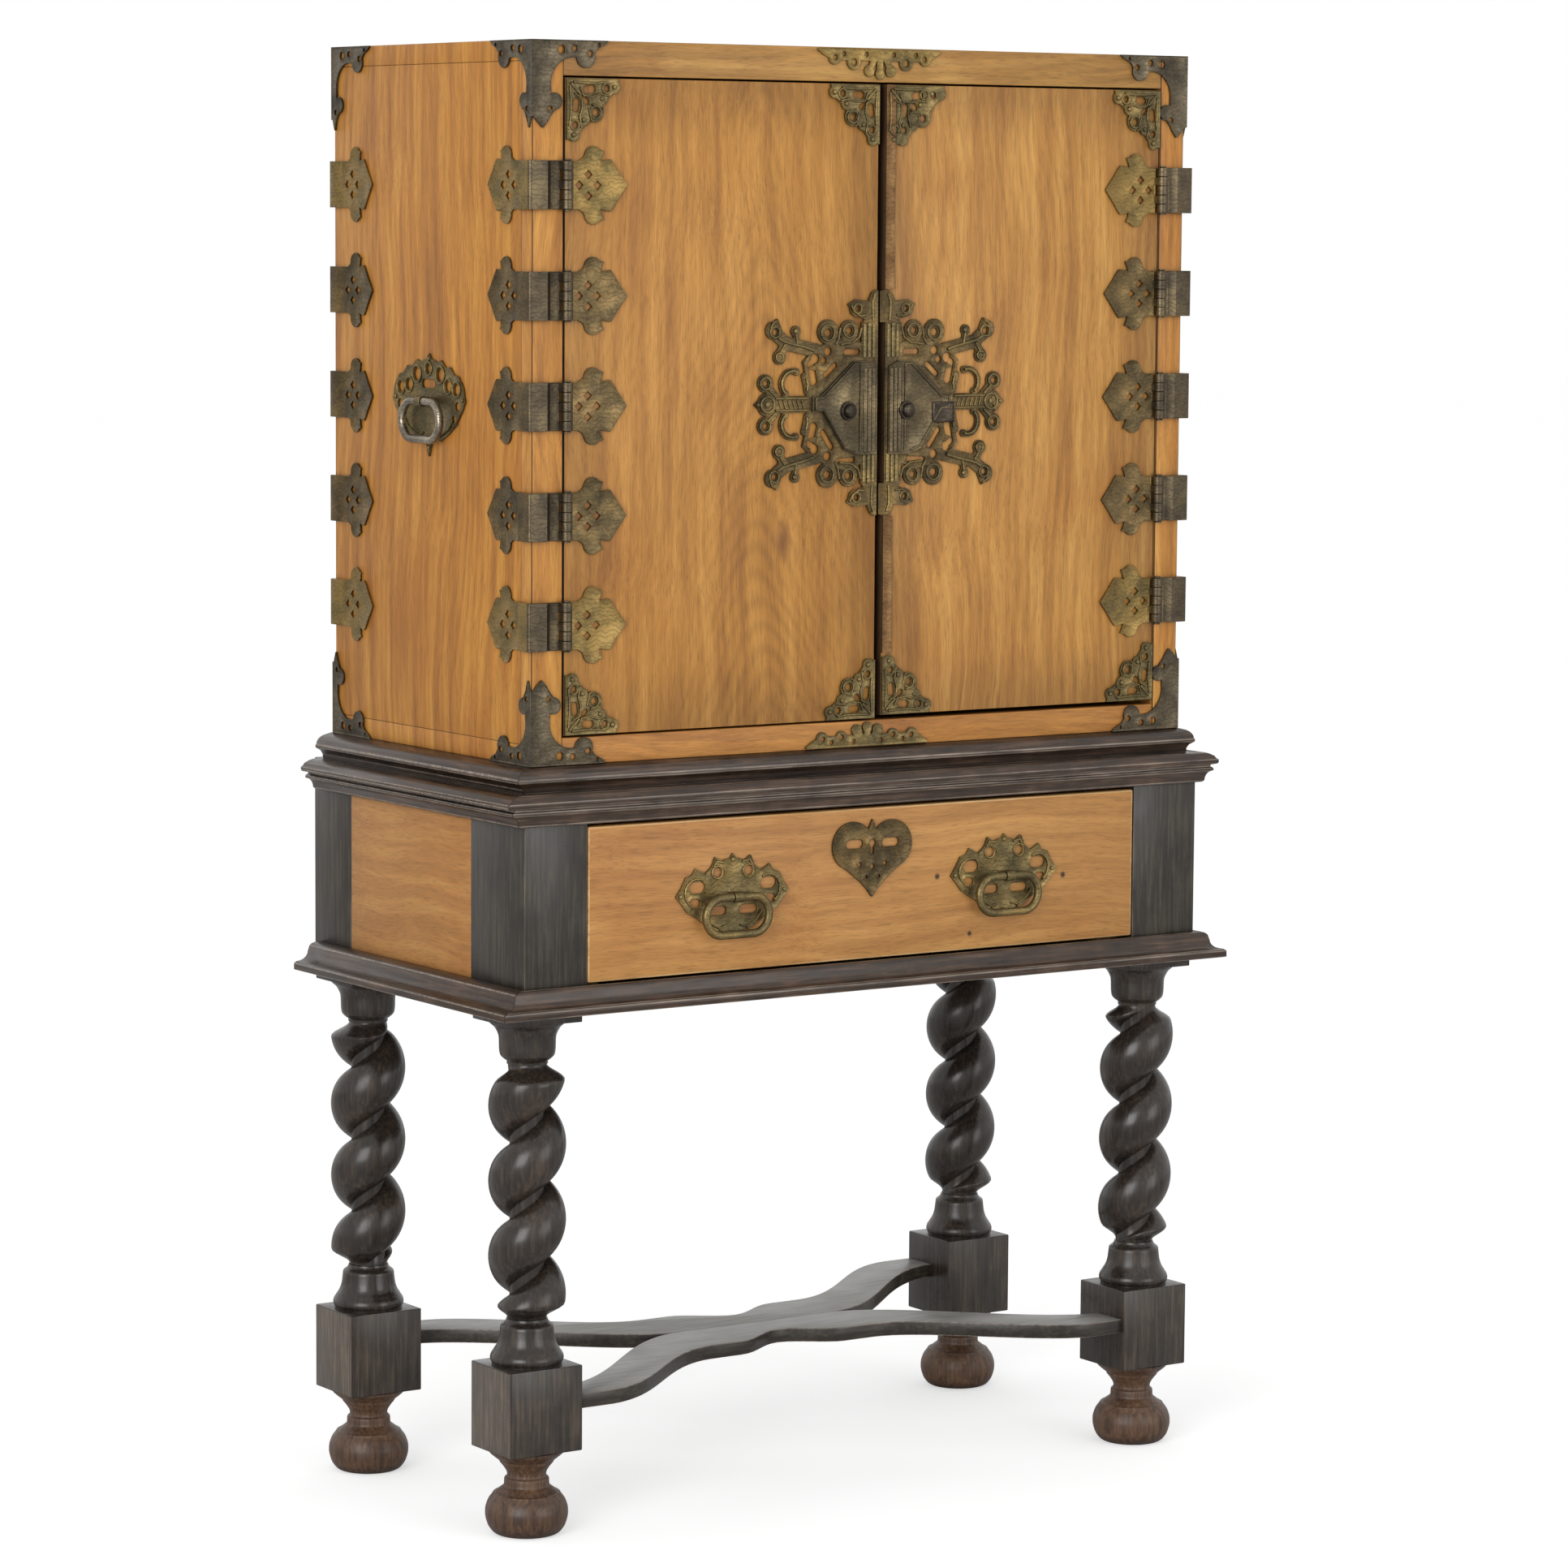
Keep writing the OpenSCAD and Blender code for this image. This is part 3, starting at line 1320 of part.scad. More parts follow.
case_bottom();
case_top();
case_side_left();
case_side_right();
case_back();
case_stile_left();
case_stile_right();
case_rail_top();
case_rail_bottom();
shelves();
shelf_battens();
case_moulding_front();
case_moulding_ends();
case_plinth_back();
door_left();
door_right();
meeting_strip();
lock_plate_left();
lock_plate_right();
lock_case();
lock_bolt();
lock_keeper();
door_mounts_left();
door_mounts_right();
hinge_case_leaves();
hinge_door_leaves_left();
hinge_door_leaves_right();
hinge_pins();
back_corner_straps();
corner_mounts();
centre_mounts();
side_handle_plates();
side_bail_left();
side_bail_right();
stand_top();
top_moulding_front();
top_moulding_ends();
posts_front();
posts_back();
frieze_end_panels();
frieze_back_panel();
stand_floor();
bottom_moulding_front();
bottom_moulding_ends();
drawer_runners();
drawer_front();
drawer_sides();
drawer_back();
drawer_bottom();
drawer_escutcheon();
drawer_handle_plates();
drawer_bail_left();
drawer_bail_right();
legs_front();
legs_back();
feet();
stretcher_front();
stretcher_back();
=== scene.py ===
"""Oak cabinet with pierced brass mounts, on an ebonised stand with barley-twist legs."""

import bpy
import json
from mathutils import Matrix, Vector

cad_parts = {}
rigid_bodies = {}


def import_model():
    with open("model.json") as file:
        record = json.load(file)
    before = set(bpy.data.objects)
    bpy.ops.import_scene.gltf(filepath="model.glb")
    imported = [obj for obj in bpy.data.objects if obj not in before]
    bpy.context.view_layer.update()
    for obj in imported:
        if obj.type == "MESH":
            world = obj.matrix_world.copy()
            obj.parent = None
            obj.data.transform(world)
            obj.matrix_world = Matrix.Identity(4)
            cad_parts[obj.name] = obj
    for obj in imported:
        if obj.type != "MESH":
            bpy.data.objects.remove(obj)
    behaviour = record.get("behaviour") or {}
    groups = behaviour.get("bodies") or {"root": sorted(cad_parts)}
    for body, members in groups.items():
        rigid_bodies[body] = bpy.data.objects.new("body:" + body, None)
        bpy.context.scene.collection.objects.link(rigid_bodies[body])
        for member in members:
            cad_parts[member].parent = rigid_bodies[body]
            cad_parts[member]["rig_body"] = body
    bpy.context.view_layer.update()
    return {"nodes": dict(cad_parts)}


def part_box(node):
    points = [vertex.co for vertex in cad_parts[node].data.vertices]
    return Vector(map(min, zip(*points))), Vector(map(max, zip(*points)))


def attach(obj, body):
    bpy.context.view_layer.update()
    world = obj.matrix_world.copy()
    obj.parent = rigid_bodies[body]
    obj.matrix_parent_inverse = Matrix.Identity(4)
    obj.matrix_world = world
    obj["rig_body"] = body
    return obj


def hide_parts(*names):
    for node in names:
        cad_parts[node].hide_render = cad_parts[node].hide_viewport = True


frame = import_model()

import json
import logging
import math
from collections.abc import Callable, Iterator, Sequence
from contextlib import contextmanager
from dataclasses import dataclass
from enum import Enum

import bmesh
import bpy
from mathutils import Matrix, Vector

Piece = bpy.types.Object
Socket = bpy.types.NodeSocket

LOG = logging.getLogger("cabinet")
MM = 0.001


# Node graphs


def linear(hex_colour: str) -> tuple[float, float, float, float]:
    """Turns an sRGB hex value into linear light.

    Args:
        hex_colour: The colour as #RRGGBB.

    Returns:
        The linear red, green and blue, and an alpha of one.
    """
    parts = [int(hex_colour[i:i + 2], 16) / 255 for i in (1, 3, 5)]
    red, green, blue = (p / 12.92 if p <= 0.04045 else ((p + 0.055) / 1.055) ** 2.4 for p in parts)
    return red, green, blue, 1.0


class Graph:
    """The node graph of one new material or world."""

    def __init__(self, owner: bpy.types.Material | bpy.types.World) -> None:
        """Starts an empty graph.

        Args:
            owner: The new material or world.
        """
        self.owner = owner
        owner.use_nodes = True
        self.tree = owner.node_tree
        self.tree.nodes.clear()

    def add(self, kind: str, inputs: dict | None = None, out: int | str = 0, **settings: object) -> Socket:
        """Adds a node with its settings and links.

        Args:
            kind: The node's type, without the ShaderNode that every type starts with.
            inputs: A value or another node's output for each named or numbered input.
            out: Which output is wanted.
            settings: The node's own settings, and stops for the places and colours of a ramp.

        Returns:
            The wanted output, or None for a node that has no outputs.
        """
        node = self.tree.nodes.new("ShaderNode" + kind)
        for name, value in settings.items():
            if name == "stops":
                for at, colour in value[2:]:
                    node.color_ramp.elements.new(at)
                for stop, (at, colour) in zip(node.color_ramp.elements, sorted(value)):
                    stop.position, stop.color = at, colour
            else:
                setattr(node, name, value)
        for name, value in (inputs or {}).items():
            if isinstance(value, Socket):
                self.tree.links.new(value, node.inputs[name])
            else:
                node.inputs[name].default_value = value
        return node.outputs[out] if len(node.outputs) else None


def grey(value: float) -> tuple[float, float, float, float]:
    """A neutral linear colour."""
    return value, value, value, 1.0


# Finishes

# Old nail holes in the drawer front: place across and up, and radius, in metres
DRAWER_NAILS = ((0.086, 0.689, 0.0030), (0.26, 0.68, 0.0030), (0.131, 0.622, 0.0026))

# Cells in a metre of each pattern, and the size that it shows at
SWAY = 3.2  # The grain's slow wander, 310 mm
FLAME = 6.0  # The waves in the rings' figure, 170 mm
PATCH = 6.5  # Paler and warmer patches in the wax, 150 mm
BAND = 60.0  # Growth rings cut at a slant, 17 mm
PORE_LINE = 380.0  # Open pores in lines, 2.6 mm
PORE = 900.0  # Single pores, 1.1 mm: four times the real size, so that they show
STAIN_PATCH = 22.0  # Places where the stain is thin, 45 mm
STAIN_LINE = 260.0  # Streaks of the wood under the stain, 4 mm
TARNISH_CLOUD = 30.0  # Clouds of tarnish, 33 mm
SPECK = 320.0  # Specks in the metal, 3 mm
ENGRAVED = 62.0  # Engraved strokes, 5 mm apart

WANDER = 0.045  # How far the grain wanders, in metres
RING_TURN = 480.0  # Radians in a metre across the board: rings 13 mm apart
ARCH_TURN = 210.0  # Radians in a metre up the board: arches 30 mm apart
FLAME_TURN = 52.0  # Radians by which the waves push the rings
ARCH_TIP = 0.0003  # How round the tips of the arches are, in square metres: a radius of 17 mm
HEART, NAIL_HOLE = "#6B3F1E", "#3A2415"  # The dark middle of a knot, and of a hole


class Grain(Enum):
    """The way the grain of a board runs, as how far the pattern is drawn out along each axis."""

    UPRIGHT = (1.0, 1.0, 0.055)
    ACROSS = (0.055, 1.0, 1.0)
    DEEP = (1.0, 0.055, 1.0)


@dataclass(frozen=True)
class WaxedOak:
    """European oak, planed and waxed: a honey ground with darker open pores in short lines along the grain.

    Growth rings are 2 to 4 mm apart, and on a board sawn through they show as bands 10 to 15 mm wide.
    Figured is how strongly they show, and arches is where the middle of the arches lies across. Knots and
    holes have their place across and up and their radius. A rim is a door's left, right, low and high edge.
    """

    name: str
    grain: Grain
    pale: str = "#C99244"
    honey: str = "#B87F35"
    dark: str = "#A26C2B"
    figured: float = 1.0
    arches: float | None = None
    seed: float = 0.0
    knots: tuple[tuple[float, float, float], ...] = ()
    holes: tuple[tuple[float, float, float], ...] = ()
    rim: tuple[float, float, float, float] | None = None
    slot: str = "oak_face"

    def build(self) -> bpy.types.Material:
        """Makes the material.

        Returns:
            The finished material.
        """
        g = Graph(bpy.data.materials.new(self.name))
        place = g.add("TexCoord", out="Object")
        patches = g.add("TexNoise", {"Vector": place, "Scale": PATCH, "Detail": 3.0, "Roughness": 0.55})
        spot, heart = self._wandering(g, place)
        drawn = g.add("Mapping", {
            "Vector": spot, "Scale": self.grain.value, "Location": (self.seed, self.seed * 0.7, 0.0)})
        bands = g.add("TexNoise", {
            "Vector": drawn, "Scale": BAND, "Detail": 3.0, "Roughness": 0.55, "Distortion": 0.3})
        lines = g.add("TexNoise", {"Vector": drawn, "Scale": PORE_LINE, "Detail": 3.0, "Roughness": 0.65})
        pores = g.add("TexNoise", {"Vector": drawn, "Scale": PORE, "Detail": 1.0})
        colour = g.add("ValToRGB", {"Fac": bands}, stops=[
            (0.3, linear(self.dark)), (0.7, linear(self.pale)), (0.5, linear(self.honey))])
        streak = g.add("MapRange", {
            "Value": lines, "From Min": 0.3, "From Max": 0.75, "To Min": 1 - 0.15 * self.figured,
            "To Max": 1 + 0.1 * self.figured})
        streak = g.add("Math", {0: streak, 1: self._rings(g, spot, patches)}, operation="MULTIPLY")
        colour = g.add("VectorMath", {0: colour, "Scale": streak}, operation="SCALE")
        # The wax is browner in some places
        warm = g.add("ValToRGB", {"Fac": patches}, stops=[
            (0.3, (0.9, 0.83, 0.74, 1.0)), (0.7, (1.06, 1.06, 1.04, 1.0)), (0.5, grey(1.0))])
        colour = g.add("VectorMath", {0: colour, 1: warm}, operation="MULTIPLY")
        pit = g.add("MapRange", {
            "Value": pores, "From Min": 0.36, "From Max": 0.46, "To Min": 0.8, "To Max": 1.0})
        colour = g.add("VectorMath", {0: colour, "Scale": pit}, operation="SCALE")
        if self.rim:
            rim_darkening = self._rim_darkening(g, place, patches)
            colour = g.add("VectorMath", {0: colour, "Scale": rim_darkening}, operation="SCALE")
        if heart:
            colour = g.add("Mix", {0: heart, 6: colour, 7: linear(HEART)}, out=2, data_type="RGBA")
        for x, z, radius in self.holes:
            away = g.add("VectorMath", {0: place, 1: (x, 0.0, z)}, operation="SUBTRACT")
            flat = g.add("VectorMath", {0: away, 1: (1.0, 0.0, 1.0)}, operation="MULTIPLY")
            away = g.add("VectorMath", {0: flat}, out="Value", operation="LENGTH")
            mark = g.add("MapRange", {"Value": away, "From Min": 1.5 * radius, "From Max": 0.6 * radius})
            colour = g.add("Mix", {0: mark, 6: colour, 7: linear(NAIL_HOLE)}, out=2, data_type="RGBA")
        # Painted shade in corners and beside the mounts, standing also for the dirt and old wax there
        corner_shade = g.add("AmbientOcclusion", {"Distance": 8 * MM}, out="AO", samples=6)
        corner_shade = g.add("MapRange", {"Value": corner_shade, "From Min": 0.25, "From Max": 0.8, "To Min": 0.62})
        colour = g.add("VectorMath", {0: colour, "Scale": corner_shade}, operation="SCALE")
        height = g.add("Math", {0: lines, 1: pit}, operation="MULTIPLY")
        bump = g.add("Bump", {"Height": height, "Strength": 0.35, "Distance": 0.4 * MM})
        rough = g.add("MapRange", {
            "Value": lines, "From Min": 0.3, "From Max": 0.7, "To Min": 0.6, "To Max": 0.48})
        shader = g.add("BsdfPrincipled", {
            "Base Color": colour, "Roughness": rough, "Normal": bump, "IOR": 1.46, "Coat Weight": 0.04,
            "Coat Roughness": 0.3})
        g.add("OutputMaterial", {"Surface": shader})
        return g.owner

    def _wandering(self, g: Graph, place: Socket) -> tuple[Socket, Socket | None]:
        """Lets the grain wander over the board and run round its knots.

        Args:
            g: The material's graph.
            place: The object's coordinates.

        Returns:
            Where each point lies in the wood, and how near it is to the middle of a knot.
        """
        drift = g.add("TexNoise", {"Vector": place, "Scale": SWAY, "Detail": 2.0, "Roughness": 0.5},
                      out="Color")
        wander = g.add("VectorMath", {0: drift, 1: (0.5, 0.5, 0.5)}, operation="SUBTRACT")
        wander = g.add("VectorMath", {0: wander, "Scale": WANDER}, operation="SCALE")
        spot = g.add("VectorMath", {0: place, 1: wander}, operation="ADD")
        heart = None
        for x, z, radius in self.knots:
            offset = g.add("VectorMath", {0: place, 1: (x, 0.0, z)}, operation="SUBTRACT")
            oval = g.add("VectorMath", {0: offset, 1: (1 / radius, 0.0, 0.45 / radius)}, operation="MULTIPLY")
            away = g.add("VectorMath", {0: oval}, out="Value", operation="LENGTH")
            bulge = g.add("Math", {0: away, 1: -1.0}, operation="MULTIPLY")
            bulge = g.add("Math", {0: bulge}, operation="EXPONENT")
            push = g.add("VectorMath", {0: oval, "Scale": bulge}, operation="SCALE")
            push = g.add("VectorMath", {0: push, 1: (-0.6 * radius, 0.0, 0.0)}, operation="MULTIPLY")
            spot = g.add("VectorMath", {0: spot, 1: push}, operation="ADD")
            core = g.add("MapRange", {"Value": away, "From Min": 0.55, "From Max": 0.1, "To Max": 0.75})
            heart = core if heart is None else g.add("Math", {0: heart, 1: core}, operation="MAXIMUM")
        return spot, heart

    def _rings(self, g: Graph, spot: Socket, patches: Socket) -> Socket:
        """Draws the growth rings: lines along the board, or tall arches on a board sawn near the heart.

        Args:
            g: The material's graph.
            spot: Where each point lies in the wood.
            patches: A broad pattern that breaks the arches up.

        Returns:
            How bright the rings leave the wood.
        """
        along = [min(6 * share, 1.0) for share in self.grain.value]
        slow = g.add("Mapping", {"Vector": spot, "Scale": along, "Location": (self.seed, 0.0, self.seed)})
        waves = g.add("TexNoise", {"Vector": slow, "Scale": FLAME, "Detail": 2.0, "Roughness": 0.4})
        waves = g.add("Math", {0: waves, 1: FLAME_TURN}, operation="MULTIPLY")
        faint: float | Socket = 1.02 - 0.11 * self.figured
        if self.arches is None:
            across = [RING_TURN if share == 1.0 else 0.0 for share in self.grain.value]
            figure = g.add("VectorMath", {0: spot, 1: across}, out="Value", operation="DOT_PRODUCT")
        else:
            x, z = (g.add("SeparateXYZ", {"Vector": spot}, out=i) for i in (0, 2))
            side = g.add("Math", {0: x, 1: self.arches}, operation="SUBTRACT")
            side = g.add("Math", {0: side, 1: side, 2: ARCH_TIP}, operation="MULTIPLY_ADD")
            side = g.add("Math", {0: side, 1: 0.5}, operation="POWER")
            faint = g.add("Math", {0: patches, 1: 0.3, 2: side}, operation="MULTIPLY_ADD")
            faint = g.add("MapRange", {
                "Value": faint, "From Min": 0.17, "From Max": 0.27, "To Min": 0.87, "To Max": 0.98})
            side = g.add("Math", {0: side, 1: RING_TURN}, operation="MULTIPLY")
            figure = g.add("Math", {0: z, 1: ARCH_TURN, 2: side}, operation="MULTIPLY_ADD")
        figure = g.add("Math", {0: figure, 1: waves}, operation="ADD")
        figure = g.add("Math", {0: figure}, operation="SINE")
        return g.add("MapRange", {
            "Value": figure, "From Min": 1.0, "From Max": -0.6, "To Min": faint, "To Max": 1.02})

    def _rim_darkening(self, g: Graph, place: Socket, patches: Socket) -> Socket:
        """Darkens a board towards its four edges.

        Args:
            g: The material's graph.
            place: The object's coordinates.
            patches: A broad pattern that breaks the rim up.

        Returns:
            How bright the board is, from the edge to the middle.
        """
        x0, x1, z0, z1 = self.rim
        xyz = [g.add("SeparateXYZ", {"Vector": place}, out=i) for i in (0, 2)]
        gaps = []
        for axis, low, high in ((xyz[0], x0, x1), (xyz[1], z0, z1)):
            near = g.add("Math", {0: axis, 1: low}, operation="SUBTRACT")
            far = g.add("Math", {0: high, 1: axis}, operation="SUBTRACT")
            gaps.append(g.add("Math", {0: near, 1: far}, operation="MINIMUM"))
        gap = g.add("Math", {0: gaps[0], 1: gaps[1]}, operation="MINIMUM")
        ragged = g.add("Math", {0: patches, 1: 0.05, 2: gap}, operation="MULTIPLY_ADD")
        return g.add("MapRange", {"Value": ragged, "From Min": 0.022, "From Max": 0.11, "To Min": 0.74},
                     interpolation_type="SMOOTHSTEP")


@dataclass(frozen=True)
class EbonisedWood:
    """Pear or beech stained black and polished: near black with brown showing where the stain is thin."""

    name: str
    grain: Grain
    deep: str = "#1F1B18"
    mid: str = "#2E2824"
    thin: str = "#4A3F37"
    shine: float = 0.33
    painted_shade: float = 0.45
    slot: str = "ebonised"

    def build(self) -> bpy.types.Material:
        """Makes the material.

        Returns:
            The finished material.
        """
        g = Graph(bpy.data.materials.new(self.name))
        place = g.add("TexCoord", out="Object")
        drawn = g.add("Mapping", {"Vector": place, "Scale": self.grain.value})
        lines = g.add("TexNoise", {"Vector": drawn, "Scale": STAIN_LINE, "Detail": 4.0, "Roughness": 0.65,
                                   "Distortion": 0.3})
        patches = g.add("TexNoise", {"Vector": place, "Scale": STAIN_PATCH, "Detail": 4.0, "Roughness": 0.6})
        blend = g.add("Math", {0: patches, 1: 0.5, 2: lines}, operation="MULTIPLY_ADD")
        colour = g.add("ValToRGB", {"Fac": blend}, stops=[
            (0.55, linear(self.deep)), (1.0, linear(self.thin)), (0.75, linear(self.mid))])
        # Painted shade in corners and recesses, deepest on the mouldings, where it paints the black shadow
        # line under the case moulding
        corner_shade = g.add("AmbientOcclusion", {"Distance": 14 * MM}, out="AO", samples=4)
        corner_shade = g.add("MapRange", {"Value": corner_shade, "From Min": 0.2, "From Max": 0.85, "To Min": self.painted_shade})
        colour = g.add("VectorMath", {0: colour, "Scale": corner_shade}, operation="SCALE")
        bump = g.add("Bump", {"Height": lines, "Strength": 0.3, "Distance": 0.4 * MM})
        rough = g.add("MapRange", {
            "Value": patches, "From Min": 0.3, "From Max": 0.7, "To Min": self.shine - 0.07,
            "To Max": self.shine + 0.12})
        shader = g.add("BsdfPrincipled", {"Base Color": colour, "Roughness": rough, "Normal": bump,
                                          "IOR": 1.45})
        g.add("OutputMaterial", {"Surface": shader})
        return g.owner


@dataclass(frozen=True)
class AgedMetal:
    """Sheet brass, pierced, engraved and long unpolished: olive and grey-green tarnish over duller gold.

    Forged iron has the same clouds and specks, in its own greys.
    """

    name: str
    bright: str = "#8C7649"
    dull: str = "#6E603F"
    tarnish: str = "#514832"
    worn: float = 0.5
    polish: float = 0.42
    slot: str = "brass"

    def build(self) -> bpy.types.Material:
        """Makes the material.

        Returns:
            The finished material.
        """
        g = Graph(bpy.data.materials.new(self.name))
        place = g.add("TexCoord", out="Object")
        clouds = g.add("TexNoise", {"Vector": place, "Scale": TARNISH_CLOUD, "Detail": 4.0, "Roughness": 0.6})
        specks = g.add("TexNoise", {"Vector": place, "Scale": SPECK, "Detail": 2.0})
        blend = g.add("Math", {0: specks, 1: 0.35, 2: clouds}, operation="MULTIPLY_ADD")
        middle = 1.02 - 0.7 * self.worn
        colour = g.add("ValToRGB", {"Fac": blend}, stops=[
            (middle - 0.2, linear(self.tarnish)), (middle + 0.2, linear(self.bright)),
            (middle, linear(self.dull))])
        # Painted shade in hollows and beside raised work, standing also for the dirt there
        corner_shade = g.add("AmbientOcclusion", {"Distance": 4 * MM}, out="AO", samples=6)
        corner_shade = g.add("MapRange", {"Value": corner_shade, "From Min": 0.3, "From Max": 0.85, "To Min": 0.42})
        colour = g.add("VectorMath", {0: colour, "Scale": corner_shade}, operation="SCALE")
        # Engraved foliage
        strokes = g.add("TexWave", {"Vector": place, "Scale": ENGRAVED, "Distortion": 9.0, "Detail": 1.5,
                                    "Detail Scale": 1.6}, out=1, wave_type="RINGS")
        cut = g.add("MapRange", {"Value": strokes, "From Min": 0.0, "From Max": 0.3})
        black = g.add("MapRange", {"Value": strokes, "From Min": 0.0, "From Max": 0.45, "To Min": 0.86,
                                   "To Max": 1.03})
        colour = g.add("VectorMath", {0: colour, "Scale": black}, operation="SCALE")
        cut = g.add("Math", {0: specks, 1: 0.3, 2: cut}, operation="MULTIPLY_ADD")
        bump = g.add("Bump", {"Height": cut, "Strength": 0.3, "Distance": 0.35 * MM})
        rough = g.add("MapRange", {
            "Value": clouds, "From Min": 0.3, "From Max": 0.7, "To Min": self.polish + 0.07,
            "To Max": self.polish - 0.07})
        shader = g.add("BsdfPrincipled", {
            "Base Color": colour, "Metallic": 0.85, "Roughness": rough, "Normal": bump})
        g.add("OutputMaterial", {"Surface": shader})
        return g.owner


class Finishes:
    """Every material of the cabinet, made once."""

    def __init__(self) -> None:
        """Makes all the materials."""
        rims = {}
        for side in ("left", "right"):
            low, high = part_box("door_" + side)
            rims[side] = (low.x, high.x, low.z, high.z)
        bare = ("#A88A63", "#94754E", "#735636")
        moulding = ("#241B15", "#3A2B20", "#5D4737")
        self.recipes: dict[str, WaxedOak | EbonisedWood | AgedMetal] = {
            # Waxed oak on the show faces, honey to brown as each board has darkened
            "oak_side": WaxedOak(
                "oak_waxed_upright", Grain.UPRIGHT, "#C68B38", "#B3762A", "#9A6222", seed=1.7),
            "oak_door_left": WaxedOak(
                "oak_waxed_left_door", Grain.UPRIGHT, "#C38B41", "#B17A32", "#9B6629", arches=-0.135,
                seed=4.1, rim=rims["left"], knots=((-0.112, 1.067, 0.022),)),
            "oak_stile": WaxedOak(
                "oak_waxed_stile", Grain.UPRIGHT, "#CF9544", "#BC7F34", "#A26A2A", seed=3.3),
            "oak_door_right": WaxedOak(
                "oak_waxed_right_door", Grain.UPRIGHT, "#C9944A", "#B8813A", "#A26E2F", seed=8.3,
                rim=rims["right"]),
            "oak_rail": WaxedOak("oak_waxed_rail", Grain.ACROSS, "#BB8F4B", "#AA7C3C", "#926831", seed=2.9),
            "oak_rail_low": WaxedOak(
                "oak_waxed_bottom_rail", Grain.ACROSS, "#C48843", "#B27834", "#9A6228", seed=7.4),
            "oak_drawer": WaxedOak(
                "oak_waxed_drawer", Grain.ACROSS, "#C08D4D", "#B17D41", "#9E6C36", figured=0.5, seed=6.6,
                holes=DRAWER_NAILS),
            "oak_panel": WaxedOak(
                "oak_waxed_panel", Grain.DEEP, "#B58345", "#AB763D", "#A06E37", figured=0.5, seed=5.2),
            # Its edges: near black as painted shade in the gaps round the doors, beside the hinges, and
            # rubbed pale round the drawer
            "oak_edge": WaxedOak("oak_waxed_painted_shade_edge", Grain.UPRIGHT, "#4A331F", "#3D2A19", "#2A1C10"),
            "oak_worn": WaxedOak("oak_worn_pale_edge", Grain.ACROSS, "#DDB581", "#CFA46C", "#B98A52"),
            # Oak that never had wax, inside and behind: greyer, with the same grain
            "oak_inside": WaxedOak("oak_unwaxed_inside", Grain.ACROSS, *bare, slot="oak_inside"),
            "oak_inside_deep": WaxedOak("oak_unwaxed_drawer_sides", Grain.DEEP, *bare, slot="oak_inside"),
            "oak_inside_upright": WaxedOak("oak_unwaxed_back", Grain.UPRIGHT, *bare, slot="oak_inside"),
            # Mouldings and boards of the stand, brown where the black has worn thin, with deep painted shade
            # in their corners and under the case moulding
            "black_across": EbonisedWood(
                "ebonised_wood_across", Grain.ACROSS, *moulding, shine=0.29, painted_shade=0.12),
            "black_deep": EbonisedWood("ebonised_wood_deep", Grain.DEEP, *moulding, shine=0.29, painted_shade=0.12),
            # Stretcher, posts and legs, blacker, and greyer on the faces that brushes rub, on the posts' worn
            # and faintly highlit edges, and on the left legs' left faces as a painted reflection
            "black_stretcher": EbonisedWood(
                "ebonised_wood_stretcher", Grain.ACROSS, "#1F1A16", "#2D2721", "#463F34"),
            "black_upright": EbonisedWood(
                "ebonised_wood_upright", Grain.UPRIGHT, "#201C18", "#2F2922", "#494236"),
            "black_turned": EbonisedWood(
                "ebonised_wood_turned", Grain.UPRIGHT, "#201B17", "#2E2722", "#493D32", shine=0.25),
            "black_rubbed": EbonisedWood(
                "ebonised_wood_rubbed_and_lit", Grain.UPRIGHT, "#423B34", "#544B42", "#74685B", shine=0.4),
            "black_brushed": EbonisedWood(
                "ebonised_wood_brushed", Grain.UPRIGHT, "#2B2621", "#3A332D", "#574B3F"),
            # Edges worn to the pale wood and lightened further as painted highlights, and a paler top on the
            # stretcher
            "black_worn": EbonisedWood(
                "ebonised_wood_worn_highlit_edge", Grain.ACROSS, "#433A34", "#73675C", "#9C8F82"),
            "black_dusty": EbonisedWood(
                "ebonised_wood_pale_top", Grain.ACROSS, "#7A7773", "#918F8A", "#A6A39E", shine=0.36),
            # The feet, where the stain has gone and walnut brown shows
            "brown_turned": EbonisedWood(
                "walnut_stained_turned", Grain.UPRIGHT, "#33241A", "#523B2B", "#6F543E", shine=0.42,
                slot="brown_turning"),
            # Sheet brass, from the gold of rubbed plates to nearly black
            "brass": AgedMetal("brass_patinated"),
            "brass_gold": AgedMetal("brass_patinated_golden", "#8B7242", "#6D5D39", "#50462F", worn=0.66),
            "brass_mid": AgedMetal("brass_patinated_rubbed", "#96804F", "#7C6B42", "#5A4E33"),
            "brass_dark": AgedMetal("brass_patinated_dark", "#7E663D", "#605034", "#453B29", worn=0.45),
            "brass_boss": AgedMetal(
                "brass_patinated_boss", "#7E6E4F", "#645740", "#4A4131", worn=0.4, polish=0.34),
            "brass_brown": AgedMetal("brass_patinated_brown", "#8E6D45", "#795A3A", "#5A422B", polish=0.52),
            "brass_slate": AgedMetal("brass_patinated_slate", "#6B604C", "#554C3D", "#3C362D"),
            "brass_black": AgedMetal("brass_patinated_black", "#4A4136", "#383129", "#26211C", polish=0.34),
            "brass_bail": AgedMetal("brass_rubbed_bright", "#A09583", "#7A7062", "#4C453A", polish=0.26),
            "brass_strap": AgedMetal("brass_patinated_strap", "#675A42", "#53493A", "#40382C"),
            "brass_olive": AgedMetal("brass_patinated_olive", "#7F6843", "#635438", "#473D2B"),
            # The lock's own works, forged and dull
            "iron": AgedMetal("iron_forged", "#6A6660", "#4C4946", "#302E2C", slot="iron"),
        }
